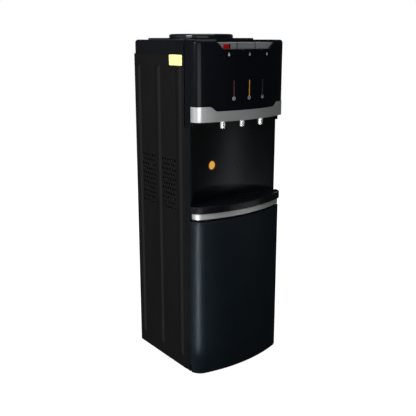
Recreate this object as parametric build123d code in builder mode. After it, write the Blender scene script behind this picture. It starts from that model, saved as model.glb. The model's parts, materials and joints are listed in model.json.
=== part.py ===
import os
from collections import namedtuple
from math import atan2, cos, hypot, pi, sin, sqrt

from build123d import *

os.makedirs("parts", exist_ok=True)

# Overall sizes in millimetres. +Z is up, the front faces -Y and the floor is at Z 0.
body_width = 330.0
panel_depth = 245.0
tray_reach = 81.5
drain_reach = 14.0
foot_height = 6.0
depth = tray_reach + panel_depth + drain_reach
panel_front = tray_reach - depth / 2
panel_rear = panel_front + panel_depth
far = 3 * depth

# Clearances
running_clearance = 0.05
slide_clearance = 0.4
panel_clearance = 1.0
key_gap = 1.2
touch_gap = 0.3

# Levels above the floor
base_height = 18.0
base_top = foot_height + base_height
door_bottom = foot_height + panel_clearance
door_height = 461.0
door_top = door_bottom + door_height
hinge_plate = 2.5
holder_bottom = door_top + panel_clearance + hinge_plate
holder_height = 20.0
tray_bottom = holder_bottom + holder_height
tray_height = 20.0
tray_top = tray_bottom + tray_height
niche_height = 233.0
niche_top = tray_top + niche_height
fascia_rise = 215.5
cover_height = 39.0
cover_top = niche_top + fascia_rise
cover_bottom = cover_top - cover_height

# Plan outlines of the bowed front pieces: half width, corner radius, and how far the corner centre
# and the middle of the bow stand ahead of the side panels' front edge
Outline = namedtuple("Outline", "half_width corner_radius corner_y front_y")
fascia_inset = 3.0
fascia_corner_radius = 24.0
fascia_corner_reach = 31.0
fascia_reach = 79.5
door_inset = 0.5
door_corner_radius = 37.5
door_corner_reach = 20.0
door_reach = 76.0
strip_inset = 4.5
strip_corner_radius = 25.0
strip_corner_reach = 27.0
lip_overhang = 5.0
fascia_half_width = body_width / 2 - fascia_inset
door_half_width = body_width / 2 - door_inset
strip_half_width = body_width / 2 - strip_inset
fascia_outline = Outline(
    fascia_half_width, fascia_corner_radius, panel_front - fascia_corner_reach, panel_front - fascia_reach
)
door_outline = Outline(
    door_half_width, door_corner_radius, panel_front - door_corner_reach, panel_front - door_reach
)
strip_outline = Outline(
    strip_half_width,
    strip_corner_radius,
    panel_front - strip_corner_reach,
    panel_front - tray_reach + lip_overhang,
)


def front_face(outline, inset, back_y):
    """Plan face with straight sides, two corner arcs and a bowed front, all tangent, ahead of back_y."""
    half = outline.half_width - inset
    radius = outline.corner_radius - inset
    front = outline.front_y + inset
    corner_x = half - radius
    drop = outline.corner_y - front
    bow = (corner_x**2 + drop**2 - radius**2) / (2 * (drop - radius))
    bow_y = front + bow
    turn = atan2(corner_x, bow_y - outline.corner_y)
    meet = (bow * sin(turn), bow_y - bow * cos(turn))
    halfway = (turn + pi / 2) / 2
    ease = (corner_x + radius * sin(halfway), outline.corner_y - radius * cos(halfway))
    with BuildSketch() as plan:
        with BuildLine():
            Line((half, panel_front), (half, outline.corner_y))
            ThreePointArc((half, outline.corner_y), ease, meet)
            ThreePointArc(meet, (0, front), (-meet[0], meet[1]))
            ThreePointArc((-meet[0], meet[1]), (-ease[0], ease[1]), (-half, outline.corner_y))
            Line((-half, outline.corner_y), (-half, panel_front))
            Line((-half, panel_front), (half, panel_front))
        make_face()
        with Locations((0, back_y)):
            Rectangle(far, far, align=(Align.CENTER, Align.MAX), mode=Mode.INTERSECT)
    return plan.sketch


def front_ring(outline, outer, inner, end_y):
    """Plan of a band that follows an outline, from one inset to another, ahead of end_y."""
    with BuildSketch() as plan:
        add(front_face(outline, outer, end_y))
        add(front_face(outline, inner, end_y), mode=Mode.SUBTRACT)
    return plan.sketch


def bow_at(outline, x):
    """Y of the bowed front at a distance x from the middle plane."""
    corner_x = outline.half_width - outline.corner_radius
    drop = outline.corner_y - outline.front_y
    bow = (corner_x**2 + drop**2 - outline.corner_radius**2) / (2 * (drop - outline.corner_radius))
    return outline.front_y + bow - sqrt(bow**2 - x**2)


# Base pan: shallow tray with cross ribs
base_wall = 3.0
base_front_reach = 20.0
rib_count = 4
rib_thickness = 2.5
sheet = 1.0
bead_height = 2.2
panel_inset = 0.7
panel_half = body_width / 2 - panel_inset
panel_inner = panel_half - sheet
base_half = panel_inner - touch_gap
base_depth = base_front_reach + panel_depth - 2 * sheet
base_front = panel_front - base_front_reach

with BuildPart() as base_pan:
    with BuildSketch(Plane.XY.offset(foot_height)):
        with Locations((0, base_front)):
            Rectangle(2 * base_half, base_depth, align=(Align.CENTER, Align.MIN))
    extrude(amount=base_top - foot_height)
    with BuildSketch(Plane.XY.offset(foot_height + base_wall)):
        with Locations((0, base_front + base_wall)):
            Rectangle(2 * (base_half - base_wall), base_depth - 2 * base_wall, align=(Align.CENTER, Align.MIN))
    extrude(amount=base_top, mode=Mode.SUBTRACT)
    with BuildSketch(Plane.XY.offset(foot_height)):
        with Locations((0, base_front + base_depth / 2)):
            with GridLocations(2 * base_half / rib_count, 0, rib_count - 1, 1):
                Rectangle(rib_thickness, base_depth - base_wall)
    extrude(amount=base_top - foot_height)
base_pan.part.label = "base_pan"
export_step(base_pan.part, "parts/base_pan.step")

# Feet: four rubber pads under the base
foot_radius = 16.0
foot_inset = 28.0
foot_chamfer = 1.5
with BuildPart() as feet:
    with BuildSketch():
        with Locations((0, base_front + base_depth / 2)):
            with GridLocations(2 * (base_half - foot_inset), base_depth - 2 * foot_inset, 2, 2):
                Circle(foot_radius)
    extrude(amount=foot_height)
    chamfer(feet.edges().group_by(Axis.Z)[0], length=foot_chamfer)
feet.part.label = "feet"
export_step(feet.part, "parts/feet.step")

# Side panels: steel sheet with a rear flange, three pressed beads and two fields of punched vents
flange_width = 14.0
bead_front = 24.0
bead_rear = 18.0
bead_count = 3
bead_width = 27.0
bead_crest = 9.0
bead_foot = 36.0
bead_head = 29.0
vent_columns = 6
vent_rows = 6
vent_column_pitch = 12.0
vent_row_pitch = 28.0
vent_radius = 3.8
vent_sides = 6
vent_rise = 46.5
vent_level = tray_top + vent_rise
bead_pitch = (panel_depth - bead_front - bead_rear) / (bead_count - 1)
bead_bottom = foot_height + bead_foot
bead_top = cover_bottom - bead_head
bead_length = bead_top - bead_bottom
bead_level = (bead_top + bead_bottom) / 2
bead_slope = bead_width - bead_crest
sheet_rear = panel_rear - sheet
screw_foot = 84.0
screw_head = 61.0
screw_rows = 4
screw_x = panel_half - flange_width / 2 - sheet
screw_radius = 1.8
screw_head_radius = 4.0
screw_head_height = 2.4
screw_length = 8.0
screw_low = foot_height + screw_foot
screw_pitch = (cover_bottom - screw_head - screw_low) / (screw_rows - 1)
screw_spots = [(side * screw_x, screw_low + row * screw_pitch) for side in (-1, 1) for row in range(screw_rows)]


def side_plane(y, level, x):
    """Plane on the left panel that looks outwards, with its own x towards the front."""
    return Plane(origin=(-x, y, level), x_dir=(0, -1, 0), z_dir=(-1, 0, 0))


with BuildPart() as left_side_panel:
    with BuildSketch(Plane.XY.offset(foot_height)):
        with Locations((-panel_half, panel_front)):
            Rectangle(sheet, panel_depth - sheet, align=(Align.MIN, Align.MIN))
        with Locations((-panel_half, sheet_rear)):
            Rectangle(flange_width, sheet, align=(Align.MIN, Align.MAX))
    extrude(amount=cover_bottom - foot_height)
    for bead in range(bead_count):
        bead_y = panel_front + bead_front + bead * bead_pitch
        for skin, mode in ((panel_half, Mode.ADD), (panel_inner, Mode.SUBTRACT)):
            with BuildSketch(side_plane(bead_y, bead_level, skin)):
                Rectangle(bead_width, bead_length)
            with BuildSketch(side_plane(bead_y, bead_level, skin + bead_height)):
                Rectangle(bead_crest, bead_length - bead_slope)
            loft(ruled=True, mode=mode)
    for field in range(bead_count - 1):
        field_y = panel_front + bead_front + (field + 0.5) * bead_pitch
        with BuildSketch(side_plane(field_y, vent_level, panel_half)):
            with GridLocations(vent_column_pitch, vent_row_pitch, vent_columns, vent_rows):
                RegularPolygon(vent_radius, vent_sides)
            with GridLocations(vent_column_pitch, vent_row_pitch, vent_columns - 1, vent_rows - 1):
                RegularPolygon(vent_radius, vent_sides)
        extrude(amount=-sheet, mode=Mode.SUBTRACT)
    with BuildSketch(Plane.XZ.offset(-sheet_rear)):
        with Locations([spot for spot in screw_spots if spot[0] < 0]):
            Circle(screw_radius)
    extrude(amount=sheet, mode=Mode.SUBTRACT)
left_side_panel.part.label = "left_side_panel"
export_step(left_side_panel.part, "parts/left_side_panel.step")

with BuildPart() as right_side_panel:
    mirror(left_side_panel.part, about=Plane.YZ)
right_side_panel.part.label = "right_side_panel"
export_step(right_side_panel.part, "parts/right_side_panel.step")

# Bottle axis, cooling fan, switches, drain and cord hole: places that several pieces share
bottle_setback = 109.4
tank_depth = 219.0
fan_rise = 74.0
fan_side = 92.0
fan_depth = 20.0
switch_drop = 49.0
switch_pitch = 46.0
switch_inset = 94.3
switch_width = 26.0
switch_tall = 18.0
drain_x = 22.0
drain_rise = 34.5
drain_radius = 9.0
gland_inset = 52.3
gland_radius = 8.0
bottle_y = panel_rear - bottle_setback
bracket_level = cover_bottom - tank_depth
fan_level = bracket_level + fan_rise
switch_level = cover_bottom - switch_drop
switch_x = switch_inset - panel_half
drain_level = holder_bottom + drain_rise
gland_level = drain_level
gland_x = panel_half - gland_inset
switch_spots = [(switch_x, switch_level), (switch_x + switch_pitch, switch_level)]

# Rear panel: sheet with fan slots and cut-outs for switches, drain and cord
rear_half = panel_half
slot_length = 38.0
slot_height = 5.0
slot_pitch = 10.0
slot_rows = 9
slot_gap = 6.0
with BuildPart() as rear_panel:
    with BuildSketch(Plane.XZ.offset(-panel_rear)):
        with Locations((0, foot_height)):
            Rectangle(2 * rear_half, cover_bottom - foot_height, align=(Align.CENTER, Align.MIN))
        with Locations((0, fan_level)):
            with GridLocations(slot_length + slot_gap, slot_pitch, 2, slot_rows):
                Rectangle(slot_length, slot_height, mode=Mode.SUBTRACT)
        with Locations(switch_spots):
            Rectangle(switch_width, switch_tall, mode=Mode.SUBTRACT)
        with Locations((drain_x, drain_level)):
            Circle(drain_radius, mode=Mode.SUBTRACT)
        with Locations((gland_x, gland_level)):
            Circle(gland_radius, mode=Mode.SUBTRACT)
        with Locations(screw_spots):
            Circle(screw_radius, mode=Mode.SUBTRACT)
    extrude(amount=sheet)
rear_panel.part.label = "rear_panel"
export_step(rear_panel.part, "parts/rear_panel.step")

with BuildPart() as rear_screws:
    with BuildSketch(Plane.XZ.offset(-panel_rear)):
        with Locations(screw_spots):
            Circle(screw_head_radius)
    extrude(amount=-screw_head_height)
    with BuildSketch(Plane.XZ.offset(-panel_rear)):
        with Locations(screw_spots):
            Circle(screw_radius)
    extrude(amount=screw_length)
rear_screws.part.label = "rear_screws"
export_step(rear_screws.part, "parts/rear_screws.step")

# Top cover: moulded skirt and roof, with a raised platform round the bottle seat
cover_wall = 2.5
cover_roof = 3.0
cover_overhang = 0.3
cover_corner = 12.0
cover_round = 9.0
platform_inset = 27.0
platform_front = 40.0
platform_rear = 15.0
platform_corner = 30.0
platform_rise = 4.5
seat_hole_radius = 86.0
cover_depth = panel_depth + cover_overhang
platform_width = body_width - 2 * platform_inset
platform_depth = panel_depth - platform_front - platform_rear
platform_y = panel_front + platform_front + platform_depth / 2
platform_top = cover_top + platform_rise
with BuildPart() as cover_core:
    with BuildSketch(Plane.XY.offset(cover_bottom)):
        with Locations((0, panel_front + cover_wall)):
            Rectangle(
                body_width - 2 * cover_wall, cover_depth - 2 * cover_wall, align=(Align.CENTER, Align.MIN)
            )
    extrude(amount=cover_height - cover_roof)
    fillet(cover_core.edges().filter_by(Axis.Z).group_by(Axis.Y)[-1], radius=cover_corner - cover_wall)
    fillet(cover_core.faces().sort_by(Axis.Z)[-1].edges().group_by(Axis.Y)[1:], radius=cover_round - cover_wall)

with BuildPart() as top_cover:
    with BuildSketch(Plane.XY.offset(cover_bottom)):
        with Locations((0, panel_front)):
            Rectangle(body_width, cover_depth, align=(Align.CENTER, Align.MIN))
    extrude(amount=cover_height)
    fillet(top_cover.edges().filter_by(Axis.Z).group_by(Axis.Y)[-1], radius=cover_corner)
    fillet(top_cover.faces().sort_by(Axis.Z)[-1].edges().group_by(Axis.Y)[1:], radius=cover_round)
    with BuildSketch(Plane.XY.offset(cover_top)):
        with Locations((0, platform_y)):
            RectangleRounded(platform_width, platform_depth, platform_corner)
    extrude(amount=platform_rise)
    chamfer(top_cover.faces().sort_by(Axis.Z)[-1].edges(), length=platform_rise / 2)
    add(cover_core.part, mode=Mode.SUBTRACT)
    with BuildSketch(Plane.XY.offset(cover_bottom)):
        with Locations((0, bottle_y)):
            Circle(seat_hole_radius)
    extrude(amount=far, mode=Mode.SUBTRACT)
top_cover.part.label = "top_cover"
export_step(top_cover.part, "parts/top_cover.step")

# Front columns: narrow mouldings that cap the panels' front edges
column_front_reach = 21.0
column_tongue = 12.0
column_lip = 9.8
column_slant = 4.3
column_drop = 17.0
column_inner = panel_inner - column_lip
column_outer = panel_half - column_slant
column_top = niche_top - column_drop
column_front = panel_front - column_front_reach
with BuildPart() as left_front_column:
    with BuildSketch(Plane.XY.offset(base_top)):
        with BuildLine():
            Polyline(
                (-column_inner, column_front),
                (-column_outer, column_front),
                (-panel_half, panel_front),
                (-panel_inner, panel_front),
                (-panel_inner, panel_front + column_tongue),
                (-column_inner, panel_front + column_tongue),
                close=True,
            )
        make_face()
    extrude(amount=column_top - base_top)
left_front_column.part.label = "left_front_column"
export_step(left_front_column.part, "parts/left_front_column.step")

with BuildPart() as right_front_column:
    mirror(left_front_column.part, about=Plane.YZ)
right_front_column.part.label = "right_front_column"
export_step(right_front_column.part, "parts/right_front_column.step")

# Silver band under the fascia: its upper edge steps up at both ends
band_end_reach = 28.0
band_proud = 1.2
band_sunk = 1.5
band_end_height = 41.0
band_middle_height = 28.0
step_inset = 35.0
step_width = 28.0
step_outer = fascia_half_width - step_inset
step_inner = step_outer - step_width
band_end = panel_front - band_end_reach
step_bend = (step_outer - step_inner) / 2
band_low = niche_top + band_middle_height
band_high = niche_top + band_end_height
with BuildPart() as fascia_trim:
    with BuildSketch(Plane.XY.offset(niche_top)):
        add(front_ring(fascia_outline, -band_proud, band_sunk, band_end))
    extrude(amount=band_end_height)
    with BuildSketch(Plane.XZ.offset(-band_end)):
        with BuildLine():
            Bezier(
                (-step_outer, band_high),
                (-step_outer + step_bend, band_high),
                (-step_inner - step_bend, band_low),
                (-step_inner, band_low),
            )
            Line((-step_inner, band_low), (step_inner, band_low))
            Bezier(
                (step_inner, band_low),
                (step_inner + step_bend, band_low),
                (step_outer - step_bend, band_high),
                (step_outer, band_high),
            )
            Line((step_outer, band_high), (-step_outer, band_high))
        make_face()
    extrude(amount=far, mode=Mode.SUBTRACT)
fascia_trim.part.label = "fascia_trim"
export_step(fascia_trim.part, "parts/fascia_trim.step")

# Fascia: bowed gloss shell, open behind and below, with a trapezoid key pocket in its top edge
fascia_wall = 3.0
fascia_roof = 2.5
fascia_round = 9.0
pocket_depth = 27.5
pocket_low_half = 83.0
pocket_high_half = 110.0
pocket_wall = 2.5
ledge_depth = 14.0
key_recess = 15.5
key_rise = 2.0
key_height = 18.5
key_end_gap = 1.5
key_setback = 2.0
rod_reach = 8.0
rod_rise = 12.0
rod_radius = 2.5
lug_width = 3.0
lug_reach = 6.0
led_x = 52.5
led_width = 3.2
led_length = 43.0
led_rise = 86.5
board_recess = 13.5
board_width = 150.0
board_tall = 60.0
board_thickness = 1.6
board_boss_radius = 3.5
board_boss_x = 62.0
board_boss_z = 24.0
pocket_floor = cover_top - pocket_depth
rod_level = pocket_floor + rod_rise
led_level = niche_top + led_rise
board_reach = fascia_reach - board_recess
pocket_slope = (pocket_high_half - pocket_low_half) / pocket_depth
key_low_half = pocket_low_half + pocket_slope * key_rise - key_end_gap
key_lean = pocket_slope * key_height
key_well_half = key_low_half + key_lean + key_gap
key_front = panel_front - fascia_reach + key_recess
well_front = key_front - key_setback
led_spots = [-led_x, 0, led_x]
pocket_top = cover_top - fascia_roof
# Cavity of the fascia, less the block that the key pocket is cut into
with BuildPart() as fascia_core:
    with BuildSketch(Plane.XY.offset(column_top)):
        add(front_face(fascia_outline, fascia_wall, panel_front))
    extrude(amount=pocket_top - column_top)
    core_rim = fascia_core.faces().sort_by(Axis.Z)[-1].edges().sort_by(Axis.Y)[:-1]
    fillet(core_rim, radius=fascia_round - fascia_wall)
    with BuildSketch(Plane.XZ.offset(-well_front - pocket_wall)):
        with BuildLine():
            Polyline(
                (-pocket_low_half - pocket_wall, pocket_floor - pocket_wall),
                (pocket_low_half + pocket_wall, pocket_floor - pocket_wall),
                (pocket_high_half + pocket_wall, cover_top),
                (-pocket_high_half - pocket_wall, cover_top),
                close=True,
            )
        make_face()
    extrude(amount=far, mode=Mode.SUBTRACT)

with BuildPart() as fascia:
    with BuildSketch(Plane.XY.offset(column_top)):
        add(front_face(fascia_outline, 0, panel_front))
    extrude(amount=cover_top - column_top)
    fillet(fascia.faces().sort_by(Axis.Z)[-1].edges().sort_by(Axis.Y)[:-1], radius=fascia_round)
    add(fascia_core.part, mode=Mode.SUBTRACT)
    with BuildSketch(Plane.XY.offset(column_top)):
        with Locations((0, band_end)):
            Rectangle(far, far, align=(Align.CENTER, Align.MAX))
    extrude(amount=niche_top - column_top, mode=Mode.SUBTRACT)
    add(fascia_trim.part, mode=Mode.SUBTRACT)
    # Pocket in the front edge, then the well behind it that the keys drop into
    with BuildSketch(Plane.XZ.offset(-well_front)):
        with BuildLine():
            Polyline(
                (-pocket_low_half, pocket_floor),
                (pocket_low_half, pocket_floor),
                (pocket_high_half, cover_top),
                (-pocket_high_half, cover_top),
                close=True,
            )
        make_face()
    extrude(amount=far, mode=Mode.SUBTRACT)
    with BuildSketch(Plane.XY.offset(pocket_floor - pocket_wall)):
        with Locations((0, panel_front)):
            Rectangle(2 * key_well_half, panel_front - well_front, align=(Align.CENTER, Align.MAX))
    extrude(amount=far, mode=Mode.SUBTRACT)
    # Lugs that hold the rod the keys turn on
    for side in (-1, 1):
        with BuildSketch(Plane.YZ.offset(side * (key_well_half + lug_width / 2))):
            with Locations((panel_front - rod_reach, pocket_top)):
                Rectangle(2 * lug_reach, pocket_top - rod_level + lug_reach, align=(Align.CENTER, Align.MAX))
            with Locations((panel_front - rod_reach, rod_level)):
                Circle(rod_radius, mode=Mode.SUBTRACT)
        extrude(amount=lug_width / 2, both=True)
    # Bosses for the display board and slots for the light bars
    with BuildSketch(Plane.XZ.offset(board_reach - panel_front)):
        with Locations((0, led_level)):
            with GridLocations(2 * board_boss_x, 2 * board_boss_z, 2, 2):
                Circle(board_boss_radius)
    extrude(until=Until.NEXT)
    with BuildSketch(Plane.XZ.offset(board_reach - panel_front)):
        with Locations([(x, led_level) for x in led_spots]):
            Rectangle(led_width, led_length)
    extrude(amount=far, mode=Mode.SUBTRACT)
fascia.part.label = "fascia"
export_step(fascia.part, "parts/fascia.step")

# Light bars: clear rods from the display board through the fascia
led_proud = 0.4
for led_name, led_spot in zip(("hot", "warm", "cold"), led_spots):
    with BuildPart() as led_lens:
        with BuildSketch(Plane.XZ.offset(board_reach - panel_front)):
            with Locations((led_spot, led_level)):
                Rectangle(led_width, led_length)
        extrude(amount=panel_front - board_reach - bow_at(fascia_outline, led_spot) + led_proud)
    led_lens.part.label = f"{led_name}_led_lens"
    export_step(led_lens.part, f"parts/{led_name}_led_lens.step")

# Display board behind the fascia
led_chip = 2.6
with BuildPart() as display_board:
    with BuildSketch(Plane.XZ.offset(board_reach - panel_front)):
        with Locations((0, led_level)):
            Rectangle(board_width, board_tall)
    extrude(amount=-board_thickness)
    with BuildSketch(Plane.XZ.offset(board_reach - board_thickness - panel_front)):
        with Locations((0, led_level)):
            with GridLocations(board_width / 4, board_tall / 2, 3, 2):
                Rectangle(2 * led_chip, led_chip)
    extrude(amount=-led_chip)
display_board.part.label = "display_board"
export_step(display_board.part, "parts/display_board.step")

# Niche: concave back wall between the columns, with a ceiling that the taps hang from
niche_wall = 2.5
niche_depth_back = 5.0
niche_edge_reach = 19.0
tap_pitch = 70.0
tap_recess = 30.0
spout_radius = 9.0
tap_spots = [-tap_pitch, 0, tap_pitch]
tap_y = panel_front - fascia_reach + tap_recess
niche_half = column_inner - touch_gap
ceiling_top = niche_top + touch_gap + niche_wall
niche_middle = panel_front + niche_depth_back
niche_edge = panel_front - niche_edge_reach
with BuildPart() as niche_panel:
    with BuildSketch(Plane.XY.offset(tray_bottom)):
        with BuildLine():
            ThreePointArc((-niche_half, niche_edge), (0, niche_middle), (niche_half, niche_edge))
            Line((niche_half, niche_edge), (niche_half, niche_edge + niche_wall))
            ThreePointArc(
                (niche_half, niche_edge + niche_wall),
                (0, niche_middle + niche_wall),
                (-niche_half, niche_edge + niche_wall),
            )
            Line((-niche_half, niche_edge + niche_wall), (-niche_half, niche_edge))
        make_face()
    extrude(amount=ceiling_top - tray_bottom)
    with BuildSketch(Plane.XY.offset(ceiling_top)):
        with BuildLine():
            ThreePointArc((-niche_half, niche_edge), (0, niche_middle), (niche_half, niche_edge))
            Line((niche_half, niche_edge), (niche_half, column_front))
            Line((niche_half, column_front), (-niche_half, column_front))
            Line((-niche_half, column_front), (-niche_half, niche_edge))
        make_face()
        add(front_face(fascia_outline, fascia_wall + touch_gap, column_front))
        with Locations([(x, tap_y) for x in tap_spots]):
            Circle(spout_radius, mode=Mode.SUBTRACT)
    extrude(amount=-niche_wall)
niche_panel.part.label = "niche_panel"
export_step(niche_panel.part, "parts/niche_panel.step")

# Taps: valve chamber on the ceiling, spout through it, barb to the rear and a bore for the stem
tap_radius = 11.0
tap_height = 48.0
tap_flange_radius = 14.0
tap_flange = 3.0
spout_drop = 21.0
spout_tip_radius = 8.0
spout_bore = 5.0
stem_radius = 3.0
stem_depth = 14.0
tube_bore = 4.0
tube_radius = 6.0
tube_grip = 10.0
barb_rise = 18.0
barb_reach = 22.0
barb_level = ceiling_top + barb_rise
tap_top = ceiling_top + tap_height
spout_bottom = niche_top - spout_drop
for tap_name, tap_x in zip(("hot", "warm", "cold"), tap_spots):
    with BuildPart() as tap_body:
        with BuildSketch(Plane.XZ.offset(-tap_y)):
            with BuildLine():
                Polyline(
                    (tap_x, spout_bottom),
                    (tap_x + spout_tip_radius, spout_bottom),
                    (tap_x + spout_radius, niche_top),
                    (tap_x + spout_radius, ceiling_top),
                    (tap_x + tap_flange_radius, ceiling_top),
                    (tap_x + tap_flange_radius, ceiling_top + tap_flange),
                    (tap_x + tap_radius, ceiling_top + tap_flange),
                    (tap_x + tap_radius, tap_top),
                    (tap_x, tap_top),
                    close=True,
                )
            make_face()
        revolve(axis=Axis((tap_x, tap_y, 0), (0, 0, 1)))
        with BuildSketch(Plane.XZ.offset(-tap_y)):
            with Locations((tap_x, barb_level)):
                Circle(tube_bore)
        extrude(amount=tap_y - panel_front + barb_reach)
        with BuildSketch(Plane.XY.offset(spout_bottom)):
            with Locations((tap_x, tap_y)):
                Circle(spout_bore)
        extrude(amount=ceiling_top - spout_bottom, mode=Mode.SUBTRACT)
        with BuildSketch(Plane.XY.offset(tap_top)):
            with Locations((tap_x, tap_y)):
                Circle(stem_radius + running_clearance)
        extrude(amount=-stem_depth, mode=Mode.SUBTRACT)
    tap_body.part.label = f"{tap_name}_tap_body"
    export_step(tap_body.part, f"parts/{tap_name}_tap_body.step")

# Press keys: hollow caps on a rod at the rear, with a post over each push rod
key_wall = 2.2
key_rear_reach = 3.0
key_round = 1.2
key_lug = 4.0
post_radius = 4.0
post_drop = 5.0
lock_width = 19.0
lock_travel = 6.0
lock_depth = 9.0
lock_height = 12.2
lock_floor = 1.5
lock_proud = 0.5
lock_cheek = 2.5
key_bottom = pocket_floor + key_rise
key_top = key_bottom + key_height
key_rear = panel_front - key_rear_reach
key_split = 32.1
key_spans = [
    (-key_low_half, -key_split - key_gap),
    (-key_split, key_split),
    (key_split + key_gap, key_low_half),
]
key_leans = [(-key_lean, 0), (0, 0), (0, key_lean)]
lock_left = -key_low_half + lock_cheek
lock_bottom = key_bottom + lock_floor
lock_room = lock_width + lock_travel + 2 * slide_clearance
post_bottom = key_bottom - post_drop
key_y = (key_front + key_rear) / 2
key_depth = key_rear - key_front


def key_face(span, leans, wall):
    """Front outline of a key inside a wall: an outer end leans out like the pocket's side."""
    left, right = (wall * hypot(1, lean / key_height) for lean in leans)
    share = 1 - wall / key_height
    with BuildSketch() as plan:
        with BuildLine():
            Polyline(
                (span[0] + left, key_bottom),
                (span[1] - right, key_bottom),
                (span[1] - right + leans[1] * share, key_top - wall),
                (span[0] + left + leans[0] * share, key_top - wall),
                close=True,
            )
        make_face()
    return plan.sketch


for key_name, key_span, leans, tap_x in zip(("hot", "warm", "cold"), key_spans, key_leans, tap_spots):
    key_x = sum(key_span) / 2
    key_width = key_span[1] - key_span[0]
    with BuildPart() as button:
        with BuildSketch(Plane.XZ.offset(-key_front)):
            add(key_face(key_span, leans, 0))
        extrude(amount=-key_depth)
        fillet(button.faces().sort_by(Axis.Z)[-1].edges(), radius=key_round)
        with BuildSketch(Plane.XZ.offset(-key_front - key_wall)):
            add(key_face(key_span, leans, key_wall))
        extrude(amount=-key_depth, mode=Mode.SUBTRACT)
        # Lugs on the rod and the post that meets the push rod
        for end in (-1, 1):
            lug_x = key_x + end * (key_width / 2 - key_lug / 2)
            with BuildSketch(Plane.YZ.offset(lug_x)):
                with Locations((panel_front - rod_reach, key_top - key_wall)):
                    Rectangle(
                        2 * (rod_reach - key_rear_reach), key_height - key_wall, align=(Align.CENTER, Align.MAX)
                    )
            extrude(amount=key_lug / 2, both=True)
        with BuildSketch(Plane.YZ.offset(key_x)):
            with Locations((panel_front - rod_reach, rod_level)):
                Circle(rod_radius + running_clearance)
        extrude(amount=key_width, both=True, mode=Mode.SUBTRACT)
        with BuildSketch(Plane.XY.offset(post_bottom)):
            with Locations((tap_x, tap_y)):
                Circle(post_radius)
        extrude(amount=key_top - key_wall - post_bottom)
        if key_name == "hot":
            # Housing and slot of the child lock
            with BuildSketch(Plane.XY.offset(key_bottom)):
                with Locations((key_span[0], key_front)):
                    Rectangle(
                        lock_room + 2 * lock_cheek, lock_depth + key_wall, align=(Align.MIN, Align.MIN)
                    )
            extrude(amount=key_height - key_wall)
            with BuildSketch(Plane.XY.offset(lock_bottom)):
                with Locations((lock_left, key_front)):
                    Rectangle(lock_room, lock_depth, align=(Align.MIN, Align.MIN))
            extrude(amount=lock_height, mode=Mode.SUBTRACT)
    button.part.label = f"{key_name}_button"
    export_step(button.part, f"parts/{key_name}_button.step")

with BuildPart() as child_lock:
    with BuildSketch(Plane.XY.offset(lock_bottom + touch_gap)):
        with Locations((lock_left + slide_clearance, key_front - lock_proud)):
            Rectangle(lock_width, lock_depth + lock_proud - touch_gap, align=(Align.MIN, Align.MIN))
    extrude(amount=lock_height - 2 * touch_gap)
    fillet(child_lock.faces().sort_by(Axis.Y)[0].edges(), radius=lock_proud)
child_lock.part.label = "child_lock"
export_step(child_lock.part, "parts/child_lock.step")

with BuildPart() as key_rod:
    with BuildSketch(Plane.YZ):
        with Locations((panel_front - rod_reach, rod_level)):
            Circle(rod_radius)
    extrude(amount=key_well_half + lug_width, both=True)
key_rod.part.label = "key_rod"
export_step(key_rod.part, "parts/key_rod.step")

# Push rods: valve stem below, wider head under the key's post
head_radius = 5.0
head_height = 6.0
stem_room = 6.0
post_gap = 0.6
rod_top = post_bottom - post_gap
stem_bottom = tap_top - stem_depth + stem_room
for rod_name, tap_x in zip(("hot", "warm", "cold"), tap_spots):
    with BuildPart() as push_rod:
        with BuildSketch(Plane.XY.offset(stem_bottom)):
            with Locations((tap_x, tap_y)):
                Circle(stem_radius)
        extrude(amount=rod_top - stem_bottom)
        with BuildSketch(Plane.XY.offset(rod_top)):
            with Locations((tap_x, tap_y)):
                Circle(head_radius)
        extrude(amount=-head_height)
    push_rod.part.label = f"{rod_name}_push_rod"
    export_step(push_rod.part, f"parts/{rod_name}_push_rod.step")

# Tray holder: hollow moulding that carries the strip and has a pocket for the tray's basin
strip_thickness = 2.5
strip_height = 17.0
holder_wall = 3.0
basin_margin = 49.5
basin_front_reach = 52.0
basin_back_reach = 16.0
basin_drop = 13.0
tray_wall = 3.0
basin_half = column_inner - basin_margin
holder_rear = panel_front + niche_depth_back + niche_wall + holder_wall
basin_front = panel_front - basin_front_reach
basin_back = panel_front - basin_back_reach
basin_middle = (basin_front + basin_back) / 2
strip_bottom = tray_bottom - strip_height


def basin_plan(margin):
    """Plan of the tray's sunk basin, grown by a margin on every side."""
    with BuildSketch() as plan:
        with Locations((0, basin_middle)):
            Rectangle(2 * (basin_half + margin), basin_back - basin_front + 2 * margin)
    return plan.sketch


def holder_plan(inset):
    """Plan of the tray holder: the strip's outline joined to a block between the columns."""
    with BuildSketch() as plan:
        add(front_face(strip_outline, strip_thickness + inset, column_front - touch_gap - inset))
        with Locations((0, holder_rear - inset)):
            Rectangle(
                2 * (niche_half - inset),
                holder_rear - column_front + strip_thickness - inset,
                align=(Align.CENTER, Align.MAX),
            )
    return plan.sketch


with BuildPart() as tray_holder:
    with BuildSketch(Plane.XY.offset(holder_bottom)):
        add(holder_plan(0))
    extrude(amount=holder_height)
    with BuildSketch(Plane.XY.offset(holder_bottom)):
        add(holder_plan(holder_wall))
    extrude(amount=holder_height - holder_wall, mode=Mode.SUBTRACT)
    with BuildSketch(Plane.XY.offset(tray_bottom)):
        add(basin_plan(panel_clearance + holder_wall))
    extrude(amount=-basin_drop - panel_clearance - holder_wall)
    with BuildSketch(Plane.XY.offset(tray_bottom)):
        add(basin_plan(panel_clearance))
    extrude(amount=-basin_drop - panel_clearance, mode=Mode.SUBTRACT)
tray_holder.part.label = "tray_holder"
export_step(tray_holder.part, "parts/tray_holder.step")

with BuildPart() as tray_trim:
    with BuildSketch(Plane.XY.offset(strip_bottom)):
        add(front_ring(strip_outline, 0, strip_thickness, band_end))
    extrude(amount=strip_height)
tray_trim.part.label = "tray_trim"
export_step(tray_trim.part, "parts/tray_trim.step")

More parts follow.
